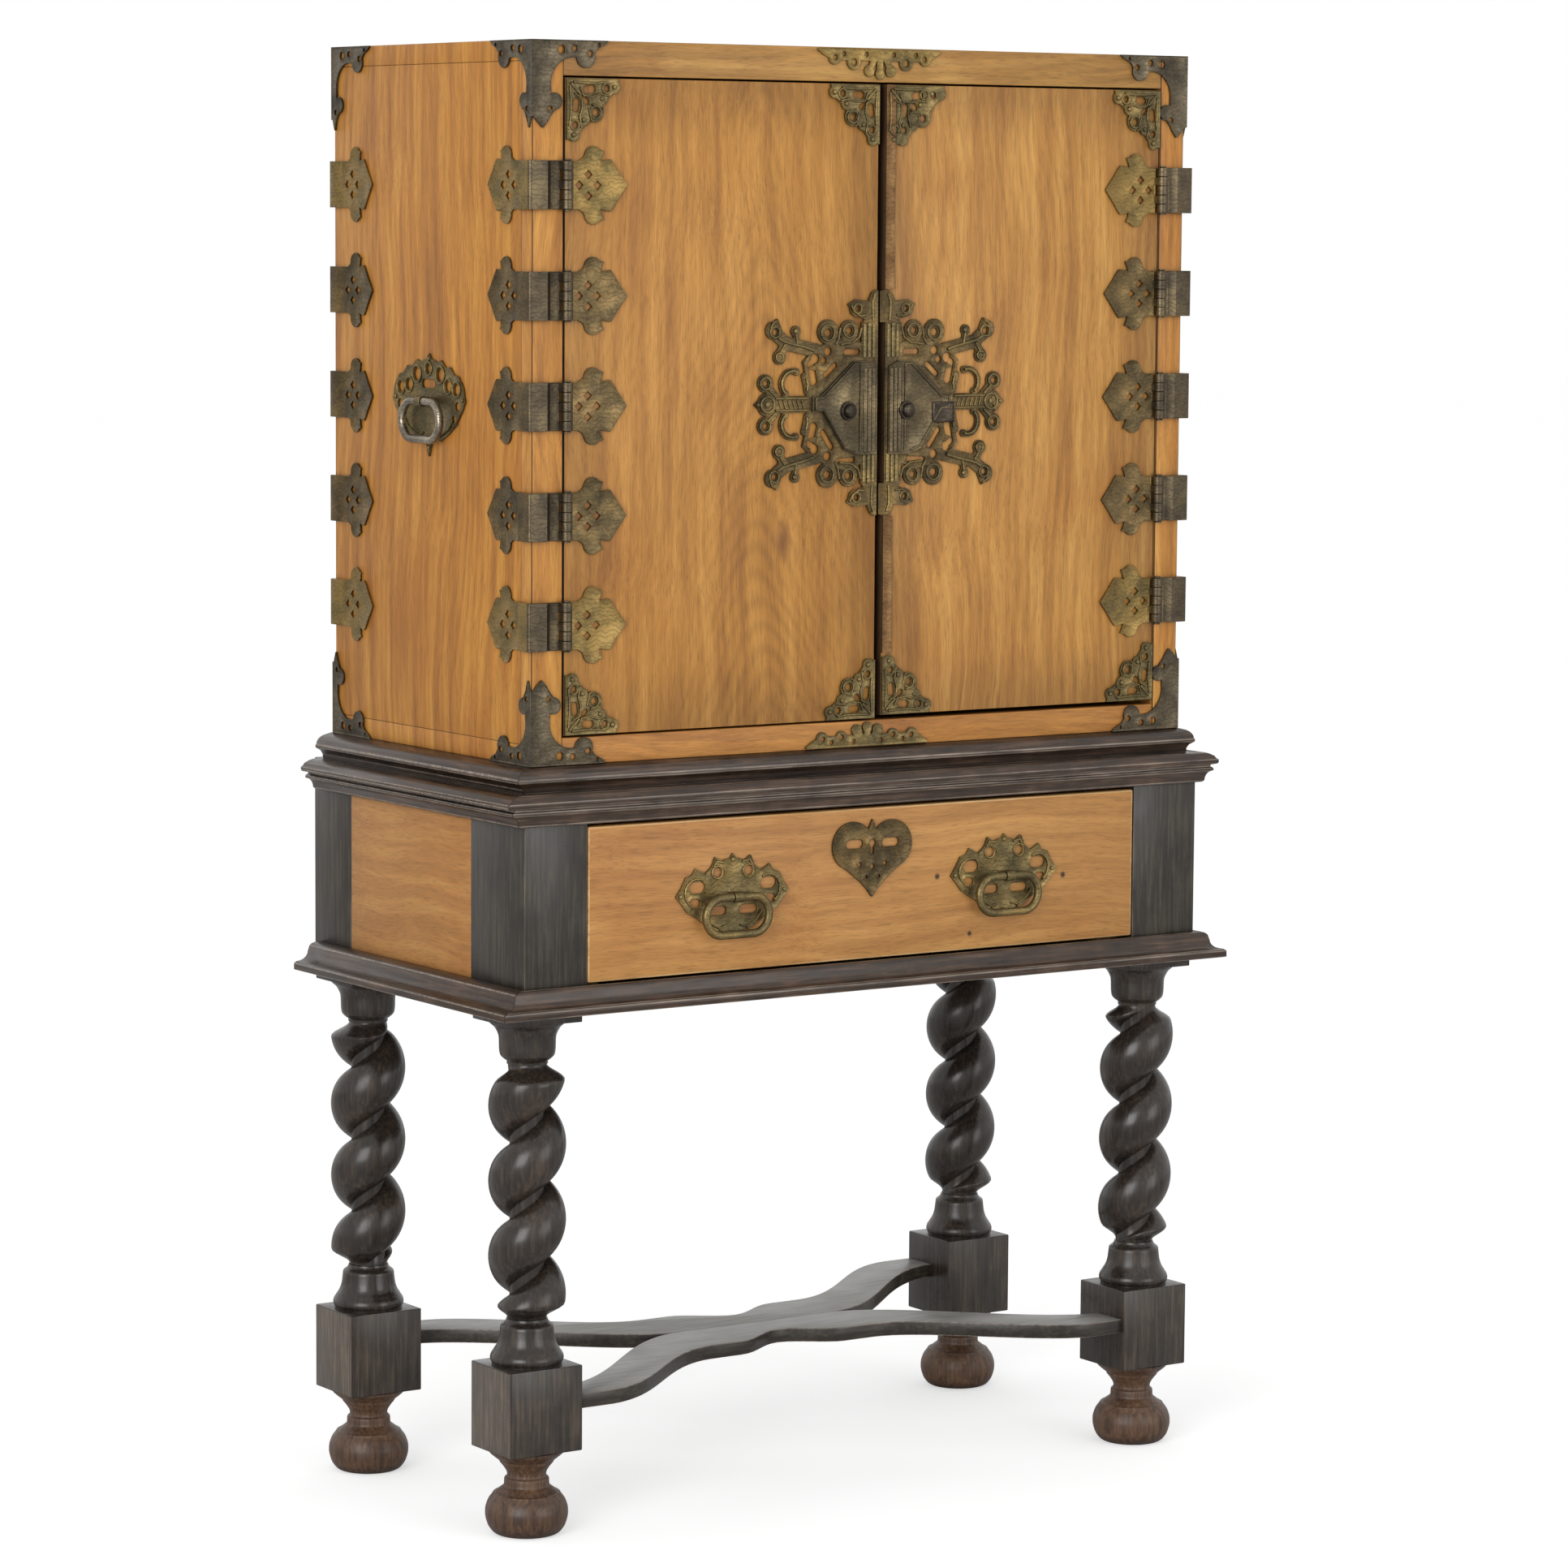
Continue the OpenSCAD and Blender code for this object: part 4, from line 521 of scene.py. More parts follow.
        self.made = {key: recipe.build() for key, recipe in self.recipes.items()}

    def __getitem__(self, key: str) -> bpy.types.Material:
        """The material of that short name."""
        return self.made[key]

    def slot(self, key: str) -> str:
        """The record's slot that the finish of that short name belongs to."""
        return self.recipes[key].slot


# Modelling


def only(piece: Piece) -> None:
    """Selects one object alone and makes it the active one.

    Args:
        piece: The object.
    """
    bpy.ops.object.select_all(action="DESELECT")
    piece.select_set(True)
    bpy.context.view_layer.objects.active = piece


@contextmanager
def editing(piece: Piece, select: str = "DESELECT") -> Iterator[bmesh.types.BMesh]:
    """Opens one piece in edit mode, to work on its faces.

    Args:
        piece: The piece to edit.
        select: What is selected at first: DESELECT for nothing, SELECT for all.

    Yields:
        Its mesh, to select faces and edges in.
    """
    only(piece)
    bpy.ops.object.mode_set(mode="EDIT")
    bpy.ops.mesh.select_mode(type="FACE")
    bpy.ops.mesh.select_all(action=select)
    yield bmesh.from_edit_mesh(piece.data)
    bpy.ops.object.mode_set(mode="OBJECT")


def select_faces(mesh: bmesh.types.BMesh, piece: Piece, test: Callable[[bmesh.types.BMFace], bool]) -> int:
    """Selects the faces that pass a test, and no others.

    Args:
        mesh: The open mesh.
        piece: The piece it belongs to.
        test: The test of one face.

    Returns:
        How many faces passed.
    """
    for face in mesh.faces:
        face.select_set(test(face))
    mesh.select_flush_mode()
    bmesh.update_edit_mesh(piece.data)
    return sum(face.select for face in mesh.faces)


def apply_modifier(piece: Piece, kind: str, **settings: object) -> None:
    """Adds a modifier to a piece and applies it.

    Args:
        piece: The piece.
        kind: The modifier's type.
        settings: Its settings.
    """
    only(piece)
    modifier = piece.modifiers.new(kind.lower(), kind)
    for name, value in settings.items():
        setattr(modifier, name, value)
    bpy.ops.object.modifier_apply(modifier=modifier.name)


def put(name: str, data: bpy.types.ID) -> Piece:
    """Puts a new object with its mesh, lamp or camera in the scene.

    Args:
        name: The name of the object and of its data.
        data: The mesh, lamp or camera.

    Returns:
        The new object.
    """
    piece = bpy.data.objects.new(name, data)
    data.name = name
    bpy.context.scene.collection.objects.link(piece)
    return piece


def primitive(add: Callable[..., set[str]], name: str, **settings: object) -> Piece:
    """Adds one primitive and brings its place into its mesh.

    Args:
        add: The operator that adds it.
        name: The new piece's name.
        settings: The operator's settings.

    Returns:
        The new piece.
    """
    bpy.ops.object.select_all(action="DESELECT")
    add(**settings)
    piece = bpy.context.active_object
    piece.name = piece.data.name = name
    bpy.ops.object.transform_apply(location=True, rotation=True, scale=True)
    return piece


def smooth(piece: Piece, angle: float = 35.0) -> None:
    """Shades a piece smooth across edges flatter than an angle in degrees."""
    only(piece)
    bpy.ops.object.shade_smooth_by_angle(angle=math.radians(angle), keep_sharp_edges=False)


def join(name: str, pieces: Sequence[Piece]) -> Piece:
    """Joins pieces into the first of them.

    Args:
        name: The name of the joined piece.
        pieces: The pieces, the first being the one that stays.

    Returns:
        The joined piece.
    """
    only(pieces[0])
    for piece in pieces[1:]:
        piece.select_set(True)
    if len(pieces) > 1:
        bpy.ops.object.join()
    pieces[0].name = pieces[0].data.name = name
    return pieces[0]


def twin(piece: Piece, name: str, place: Matrix) -> Piece:
    """Copies a piece with a mesh of its own to another place.

    Args:
        piece: The piece to copy.
        name: The copy's name.
        place: Where the copy goes, from the place of the first.

    Returns:
        The copy.
    """
    copy = put(name, piece.data.copy())
    copy.data.transform(place)
    if place.determinant() < 0:
        copy.data.flip_normals()
    return copy


def body_of(node: str) -> str:
    """The body that a CAD node rides on."""
    return frame["nodes"][node]["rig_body"]


def dress(piece: Piece, body: str, slot: str, replaced: Sequence[str] = ()) -> Piece:
    """Puts a finished piece on its body, hides the CAD nodes that it stands for and logs it.

    Args:
        piece: The finished piece.
        body: The body it rides on.
        slot: The record's material slot; not used.
        replaced: The CAD nodes that it stands for.

    Returns:
        The same piece.
    """
    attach(piece, body)
    if replaced:
        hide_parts(*replaced)
    LOG.info("%s on %s: %d faces", piece.name, body, len(piece.data.polygons))
    return piece


def copy_node(node: str, name: str, merge_flats: bool = True) -> Piece:
    """Copies a CAD node as one closed mesh, to be shaped further.

    Args:
        node: The CAD node.
        name: The new piece's name.
        merge_flats: Whether triangles in one plane become one face.

    Returns:
        The new piece, with no material yet.
    """
    piece = put(name, frame["nodes"][node].data.copy())
    piece.data.materials.clear()
    with editing(piece, "SELECT"):
        bpy.ops.mesh.customdata_custom_splitnormals_clear()
        bpy.ops.mesh.remove_doubles(threshold=2e-6)
        if merge_flats:
            bpy.ops.mesh.dissolve_limited(angle_limit=math.radians(0.5))
    return piece


def islands(mesh: bpy.types.Mesh) -> list[list[int]]:
    """Finds the separate shells of a mesh.

    Args:
        mesh: The mesh.

    Returns:
        The face numbers of each shell.
    """
    parent = list(range(len(mesh.vertices)))

    def root(i: int) -> int:
        """Finds the vertex that stands for a vertex's shell.

        Args:
            i: The vertex.

        Returns:
            The one that stands for its shell so far.
        """
        while parent[i] != i:
            parent[i] = parent[parent[i]]
            i = parent[i]
        return i

    for edge in mesh.edges:
        a, b = (root(i) for i in edge.vertices)
        parent[a] = b
    groups: dict[int, list[int]] = {}
    for face in mesh.polygons:
        groups.setdefault(root(face.vertices[0]), []).append(face.index)
    return list(groups.values())


# The wooden parts


@dataclass
class Joinery:
    """The boards, panels and mouldings: each keeps its CAD shape, its edges eased by hand and wear."""

    finishes: Finishes
    eased: float = 1.2 * MM
    sharp: float = 0.9 * MM
    drawer_eased: float = 2.2 * MM
    rounds: int = 2

    def board(self, node: str, finish: str, edge: str | None = None, width: float | None = None,
              facing: tuple[Vector, str] | None = None) -> Piece:
        """Makes one board with eased edges.

        Args:
            node: The CAD node that it stands for.
            finish: The short name of its finish.
            edge: The short name of the finish on the eased edges, if it differs.
            width: How far the edges are eased.
            facing: A direction, and the finish of the faces that look along it or back.

        Returns:
            The finished piece.
        """
        piece = copy_node(node, node + "_eased")
        piece.data.materials.append(self.finishes[finish])
        if edge:
            piece.data.materials.append(self.finishes[edge])
        if facing:
            piece.data.materials.append(self.finishes[facing[1]])
            for face in piece.data.polygons:
                if abs(face.normal.dot(facing[0])) > 0.9:
                    face.material_index = len(piece.data.materials) - 1
        apply_modifier(piece, "BEVEL", width=width or self.eased, segments=self.rounds, limit_method="ANGLE",
                       angle_limit=math.radians(28), use_clamp_overlap=True, material=1 if edge else -1)
        smooth(piece, 30)
        return dress(piece, body_of(node), self.finishes.slot(finish), [node])

    def clear_worn_highlit(self, piece: Piece) -> None:
        """Takes the finish of worn and painted-highlight edges off mitres and upright edges, which hands
        don't rub.

        Args:
            piece: A moulding or a board, with the worn and highlit finish in its second place.
        """
        points = piece.data.vertices
        for face in piece.data.polygons:
            run = max((points[b].co - points[a].co for a, b in face.edge_keys),
                      key=lambda edge: edge.length).normalized()
            if face.material_index == 1 and max(abs(run.x), abs(run.y)) < 0.95:
                face.material_index = 0

    def build(self) -> None:
        """Makes every wooden part but the turned ones."""
        for node, finish in {
            "case_rail_top": "oak_rail", "case_rail_bottom": "oak_rail_low",
            "case_back": "oak_inside_upright", "shelves": "oak_inside", "shelf_battens": "oak_inside_deep",
            "frieze_end_panels": "oak_panel", "frieze_back_panel": "oak_inside",
            "drawer_runners": "oak_inside_deep", "drawer_sides": "oak_inside_deep",
            "drawer_back": "oak_inside", "drawer_bottom": "oak_inside",
        }.items():
            self.board(node, finish)
        self.board("drawer_front", "oak_drawer", "oak_worn", self.drawer_eased)
        sideways, upwards = Vector((1, 0, 0)), Vector((0, 0, 1))
        # The doors' side edges, seen down the gaps, are painted near black as shade
        self.board("door_left", "oak_door_left", facing=(sideways, "oak_edge"))
        self.board("door_right", "oak_door_right", facing=(sideways, "oak_edge"))
        self.board("case_top", "oak_rail", facing=(sideways, "oak_side"))
        self.board("case_bottom", "oak_inside", facing=(sideways, "oak_side"))
        for side in ("left", "right"):
            self.board("case_side_" + side, "oak_side")
            # The stiles' eased edges take the near-black painted shade of the door gaps
            self.board("case_stile_" + side, "oak_stile", "oak_edge", self.sharp)
        for node, finish in {
            "case_moulding_front": "black_across", "case_moulding_ends": "black_deep",
            "case_plinth_back": "black_across", "stand_top": "black_across",
            "top_moulding_front": "black_across", "top_moulding_ends": "black_deep",
            "stand_floor": "black_across", "bottom_moulding_front": "black_across",
            "bottom_moulding_ends": "black_deep",
        }.items():
            self.clear_worn_highlit(self.board(node, finish, "black_worn", self.sharp))
        for node in ("posts_front", "posts_back"):
            self.board(node, "black_upright", "black_rubbed", self.sharp)
        for node in ("stretcher_front", "stretcher_back"):
            self.board(node, "black_stretcher", "black_worn", self.sharp, (upwards, "black_dusty"))


# The turned parts


def rounded(profile: Sequence[tuple[float, float]], times: int) -> list[tuple[float, float]]:
    """Rounds a turned profile by cutting its corners, its two ends kept.

    Args:
        profile: Radius and height of each corner, in millimetres.
        times: How often the corners are cut.

    Returns:
        The rounder profile.
    """
    points = list(profile)
    for _ in range(times):
        cut = [points[0]]
        for (r0, z0), (r1, z1) in zip(points, points[1:]):
            cut += [(0.8 * r0 + 0.2 * r1, 0.8 * z0 + 0.2 * z1), (0.2 * r0 + 0.8 * r1, 0.2 * z0 + 0.8 * z1)]
        points = cut + [points[-1]]
    return points


def turn(name: str, profile: Sequence[tuple[float, float]], steps: int = 64) -> Piece:
    """Turns a profile round the upright axis.

    Args:
        name: The piece's name.
        profile: Radius and height of each corner, in millimetres, from axis to axis.
        steps: The number of flats in the round.

    Returns:
        The closed turned piece.
    """
    mesh = bpy.data.meshes.new(name)
    mesh.from_pydata([(r * MM, 0.0, z * MM) for r, z in profile],
                     [(i, i + 1) for i in range(len(profile) - 1)], [])
    piece = put(name, mesh)
    with editing(piece):
        bpy.ops.mesh.select_mode(type="VERT")
        bpy.ops.mesh.select_all(action="SELECT")
        bpy.ops.mesh.spin(steps=steps, angle=math.tau, center=(0, 0, 0), axis=(0, 0, 1))
        bpy.ops.mesh.select_all(action="SELECT")
        bpy.ops.mesh.remove_doubles(threshold=1e-6)
        bpy.ops.mesh.normals_make_consistent(inside=False)
    return piece


@dataclass
class TwistLegs:
    """Four legs, each turned from one piece: a square block, a cup, a barley twist, a drum and a square cap.

    Sizes are in millimetres, and worn, rubbed and brushed are the places of those finishes on a leg: the worn
    edges also carry painted highlights, and the rubbed faces are a painted reflection on the left side of a
    left leg's block.
    """

    finishes: Finishes
    span: tuple[float, float] = (822.0, 348.0)
    grooves: tuple[float, ...] = (36.0, 159.0, 247.0, 151.0)
    foot_h: float = 93.0
    foot_r: float = 45.0
    block: tuple[float, float, float] = (90.0, 84.0, 94.0)
    cup_h: float = 50.0
    twist_h: float = 276.0
    drum_h: float = 47.0
    cap: tuple[float, float, float] = (87.0, 84.0, 12.0)
    pitch: float = 82.0
    twist_r: float = 42.0
    groove_r: float = 19.0
    groove_share: float = 0.14
    rope_power: float = 0.55
    fade_h: float = 17.0
    sides: int = 64
    rings: int = 170
    mid_y: float = 9.25
    worn: int = 1
    rubbed: int = 2
    brushed: int = 3

    def fade(self, t: float) -> float:
        """A smooth step from nought to one."""
        t = min(max(t, 0.0), 1.0)
        return t * t * (3 - 2 * t)

    def radius(self, z: float, turned: float) -> float:
        """The twist's radius.

        Args:
            z: Height above the twist's foot.
            turned: Share of a turn from the groove.

        Returns:
            The radius in millimetres.
        """
        swell = self.fade(min(z, self.twist_h - z) / self.fade_h)
        off = min(abs(2 * (turned % 1.0) - 1) / (1 - self.groove_share), 1.0)
        rope = (1 - off * off) ** self.rope_power
        return self.groove_r + (self.twist_r - self.groove_r) * swell * rope + 2 * (1 - swell)

    def twist(self) -> Piece:
        """Models the twist at the origin, its groove starting along +x.

        Returns:
            The twist as a closed piece.
        """
        over = 1.5
        length = self.twist_h + 2 * over
        piece = primitive(
            bpy.ops.mesh.primitive_cylinder_add, "leg_twist", vertices=self.sides, radius=self.twist_r * MM,
            depth=length * MM, end_fill_type="NGON", location=(0, 0, (length / 2 - over) * MM))
        with editing(piece) as mesh:
            bpy.ops.mesh.select_mode(type="EDGE")
            for edge in mesh.edges:
                a, b = (v.co.z for v in edge.verts)
                edge.select_set(abs(a - b) > 0.5 * length * MM)
            bmesh.update_edit_mesh(piece.data)
            bpy.ops.mesh.subdivide(number_cuts=self.rings - 1)
        for vertex in piece.data.vertices:
            z = vertex.co.z / MM
            around = math.atan2(vertex.co.y, vertex.co.x) / math.tau
            r = self.radius(z, around) * MM
            angle = math.tau * (around + z / self.pitch)
            vertex.co.x, vertex.co.y = r * math.cos(angle), r * math.sin(angle)
        return piece

    def box(self, name: str, size: tuple[float, float, float], z: float, eased: float) -> Piece:
        """Models a squared part of the leg with eased edges.

        Args:
            name: The part's name.
            size: Width, depth and height in millimetres.
            z: The height of its foot.
            eased: How far the edges are eased.

        Returns:
            The part.
        """
        piece = primitive(bpy.ops.mesh.primitive_cube_add, name, size=MM, scale=size,
                          location=(0, 0, (z + size[2] / 2) * MM))
        with editing(piece, "SELECT"):
            bpy.ops.mesh.bevel(offset=eased * MM, segments=2, affect="EDGES", material=self.worn)
        return piece

    def build(self) -> None:
        """Makes the four legs and the four feet."""
        block_z = self.foot_h
        cup_z = block_z + self.block[2]
        twist_z = cup_z + self.cup_h
        drum_z = twist_z + self.twist_h
        cap_z = drum_z + self.drum_h
        neck = self.groove_r + 3.2
        cup = [(0, -2), (38, -2), (38, 1), (39.5, 4), (40, 7), (38.8, 11), (36.6, 14), (35.6, 16), (33.4, 19),
               (31.6, 23), (30.2, 28), (29, 38), (28.6, 42), (25, 44.5), (neck + 0.6, self.cup_h - 3),
               (neck, self.cup_h), (0, self.cup_h)]
        drum = [(0, 0), (neck, 0), (neck, 4), (25.5, 6), (29.5, 10), (30.5, 16), (30.8, 30), (32.5, 35),
                (36, 41), (41, 45), (42.5, self.drum_h + 1), (0, self.drum_h + 1)]
        twist = self.twist()
        for vertex in twist.data.vertices:
            vertex.co.z += twist_z * MM
        rest = [self.box("leg_block", self.block, block_z, 1.4), self.box("leg_cap", self.cap, cap_z, 1.0),
                turn("leg_cup", rounded([(r, cup_z + z) for r, z in cup], 1)),
                turn("leg_drum", rounded([(r, drum_z + z) for r, z in drum], 1))]
        feet = turn("foot_turned", rounded(self.foot_profile(), 2))
        places = [(sx * self.span[0] / 2, sy * self.span[1] / 2 + self.mid_y)
                  for sy in (-1, 1) for sx in (-1, 1)]
        names = ("front_left", "front_right", "back_left", "back_right")
        for name, groove, (x, y) in zip(names, self.grooves, places):
            shift = Matrix.Translation((x * MM, y * MM, 0))
            parts = [twin(twist, "part", shift @ Matrix.Rotation(math.radians(groove), 4, "Z"))]
            parts += [twin(part, "part", shift) for part in rest]
            leg = join("leg_" + name, parts)
            leg.data.materials.clear()
            for key in ("black_turned", "black_worn", "black_rubbed", "black_brushed"):
                leg.data.materials.append(self.finishes[key])
            for face in leg.data.polygons:
                if face.area > self.block[1] * self.block[2] * 0.5 * MM * MM:
                    if face.normal.y < -0.99:
                        face.material_index = self.brushed
                    # A painted reflection: the left face of a left leg's block is lighter, as the lamps light
                    # it
                    elif face.normal.x < -0.99 and "left" in name:
                        face.material_index = self.rubbed
            smooth(leg, 40)
            dress(leg, "stand", "ebonised", ["legs_front" if "front" in name else "legs_back"])
            foot = twin(feet, "foot_" + name, shift)
            foot.data.materials.append(self.finishes["brown_turned"])
            smooth(foot, 40)
            dress(foot, "stand", "brown_turning", ["feet"])
        for part in [twist, feet, *rest]:
            bpy.data.objects.remove(part)

    def foot_profile(self) -> list[tuple[float, float]]:
        """Draws the bun foot from its sole to its top.

        Returns:
            Radius and height of each corner, in millimetres.
        """
        r, h = self.foot_r, self.foot_h
        return [(0, 0), (r - 13, 0), (r - 8, 2.5), (r - 3, 9), (r, 19), (r, 28), (r - 3, 37), (r - 8, 43.5),
                (r - 8.6, 45), (r - 11, 45.6), (r - 14, 48), (r - 18, 51), (r - 20.5, 53), (r - 20.6, 61),
                (r - 23, 62.5), (r - 24, 65), (r - 23, 69), (r - 19, h - 18), (r - 15.5, h - 14),
                (r - 15, h - 12), (r - 11, h - 9), (r - 5, h - 4), (r - 3, h - 1), (r - 3, h), (0, h)]


# The brass


@dataclass
class BrassMounts:
    """The pierced plates, hinges and handles: each keeps its CAD outline, with a raised border cut along it.

    Hinges further than golden from the middle of the doors have kept more of their gold.
    """

    finishes: Finishes
    border: float = 1.3 * MM
    sunk: float = 0.6 * MM
    plate_t: float = 3.0 * MM
    leaf_t: float = 2.8 * MM
    boss_t: float = 7.0 * MM
    golden: float = 180 * MM
    softened: float = 0.35 * MM
    near: float = 0.15 * MM

    def plate(self, node: str, facings: Sequence[tuple[Vector, float]], finish: str | Callable[[Vector], str],
              levels: Sequence[tuple[float, str]] = ()) -> Piece:
        """Makes the plates of a CAD node with raised borders.

        Args:
            node: The CAD node that they stand for.
            facings: The outward direction of each set of show faces, and how far out the faces lie along it.
            finish: The finish's short name, or what gives it for a plate whose middle is at a place.
            levels: The finish of what lies further out along the first direction than each level.

        Returns:
            The finished piece.
        """
        piece = copy_node(node, node + "_chased", merge_flats=False)
        for outward, level in facings:
            with editing(piece) as mesh:
                found = select_faces(mesh, piece, lambda face: face.normal.dot(outward) > 0.99
                                     and abs(face.calc_center_median().dot(outward) - level) < self.near)
                if found:
                    bpy.ops.mesh.inset(thickness=self.border, depth=0.0, use_boundary=True)
                    bpy.ops.transform.translate(value=-self.sunk * outward)
        keys: list[str] = []
        for shell in islands(piece.data):
            middle = sum((piece.data.polygons[i].center for i in shell), Vector()) / len(shell)
            key = finish if isinstance(finish, str) else finish(middle)
            if key not in keys:
                keys.append(key)
                piece.data.materials.append(self.finishes[key])
            for i in shell:
                piece.data.polygons[i].material_index = keys.index(key)
        for level, key in levels:
            piece.data.materials.append(self.finishes[key])
            for face in piece.data.polygons:
                if face.center.dot(facings[0][0]) > level:
                    face.material_index = len(piece.data.materials) - 1
        apply_modifier(piece, "BEVEL", width=self.softened, segments=1, limit_method="ANGLE",
                       angle_limit=math.radians(50), use_clamp_overlap=False)
        smooth(piece, 30)
        return dress(piece, body_of(node), self.finishes.slot(keys[0]), [node])

    def build(self) -> None:
        """Makes every brass part, and the iron ones of the lock."""
        front, left, right = Vector((0, -1, 0)), Vector((-1, 0, 0)), Vector((1, 0, 0))
        low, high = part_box("door_left")
        mid_z = (low.z + high.z) / 2
        case_end = -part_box("case_side_left")[0].x
        plate, leaf, boss = (-low.y + thick for thick in (self.plate_t, self.leaf_t, self.boss_t))
        on_drawer = [(front, -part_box("drawer_front")[0].y + self.plate_t)]
        end_leaves = [(left, case_end + self.leaf_t), (right, case_end + self.leaf_t)]
        end_plates = [(left, case_end + self.plate_t), (right, case_end + self.plate_t)]

        def hinges(middle: str) -> Callable[[Vector], str]:
            """Hinges at the top and the bottom are more golden than the middle ones."""
            return lambda at: "brass_gold" if abs(at.z - mid_z) > self.golden else middle

        for side in ("left", "right"):
            self.plate("lock_plate_" + side, [(front, plate), (front, boss)], "brass_dark",
                       [(plate + 0.4 * MM, "brass_boss"), (boss + 0.3 * MM, "brass_black")])
        self.plate("meeting_strip", [(front, -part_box("meeting_strip")[0].y)], "brass_brown")
        for side in ("left", "right"):
            self.plate("door_mounts_" + side, [(front, plate)], "brass")
        self.plate("hinge_case_leaves", [(front, leaf), *end_leaves], hinges("brass_dark"),
                   [(leaf - 3.5 * MM, "brass_strap")])
        for side in ("left", "right"):
            self.plate("hinge_door_leaves_" + side, [(front, leaf)], hinges("brass_olive"),
                       [(leaf + 0.4 * MM, "brass_strap")])
        self.plate("hinge_pins", [], "brass_strap")
        self.plate("back_corner_straps", end_leaves, hinges("brass_dark"))
        self.plate("corner_mounts", [(front, plate), *end_plates], "brass_slate")
        self.plate("centre_mounts", [(front, plate)], lambda at: "brass_gold" if at.z > mid_z else "brass")
        self.plate("side_handle_plates", end_plates, "brass")
        self.plate("drawer_escutcheon", on_drawer, "brass_dark")
        self.plate("drawer_handle_plates", on_drawer, "brass")
        for handle, key in (("side", "brass_bail"), ("drawer", "brass")):
            for side in ("left", "right"):
                self.plate(f"{handle}_bail_{side}", [], key)
        for node in ("lock_case", "lock_bolt", "lock_keeper"):
            self.plate(node, [], "iron")


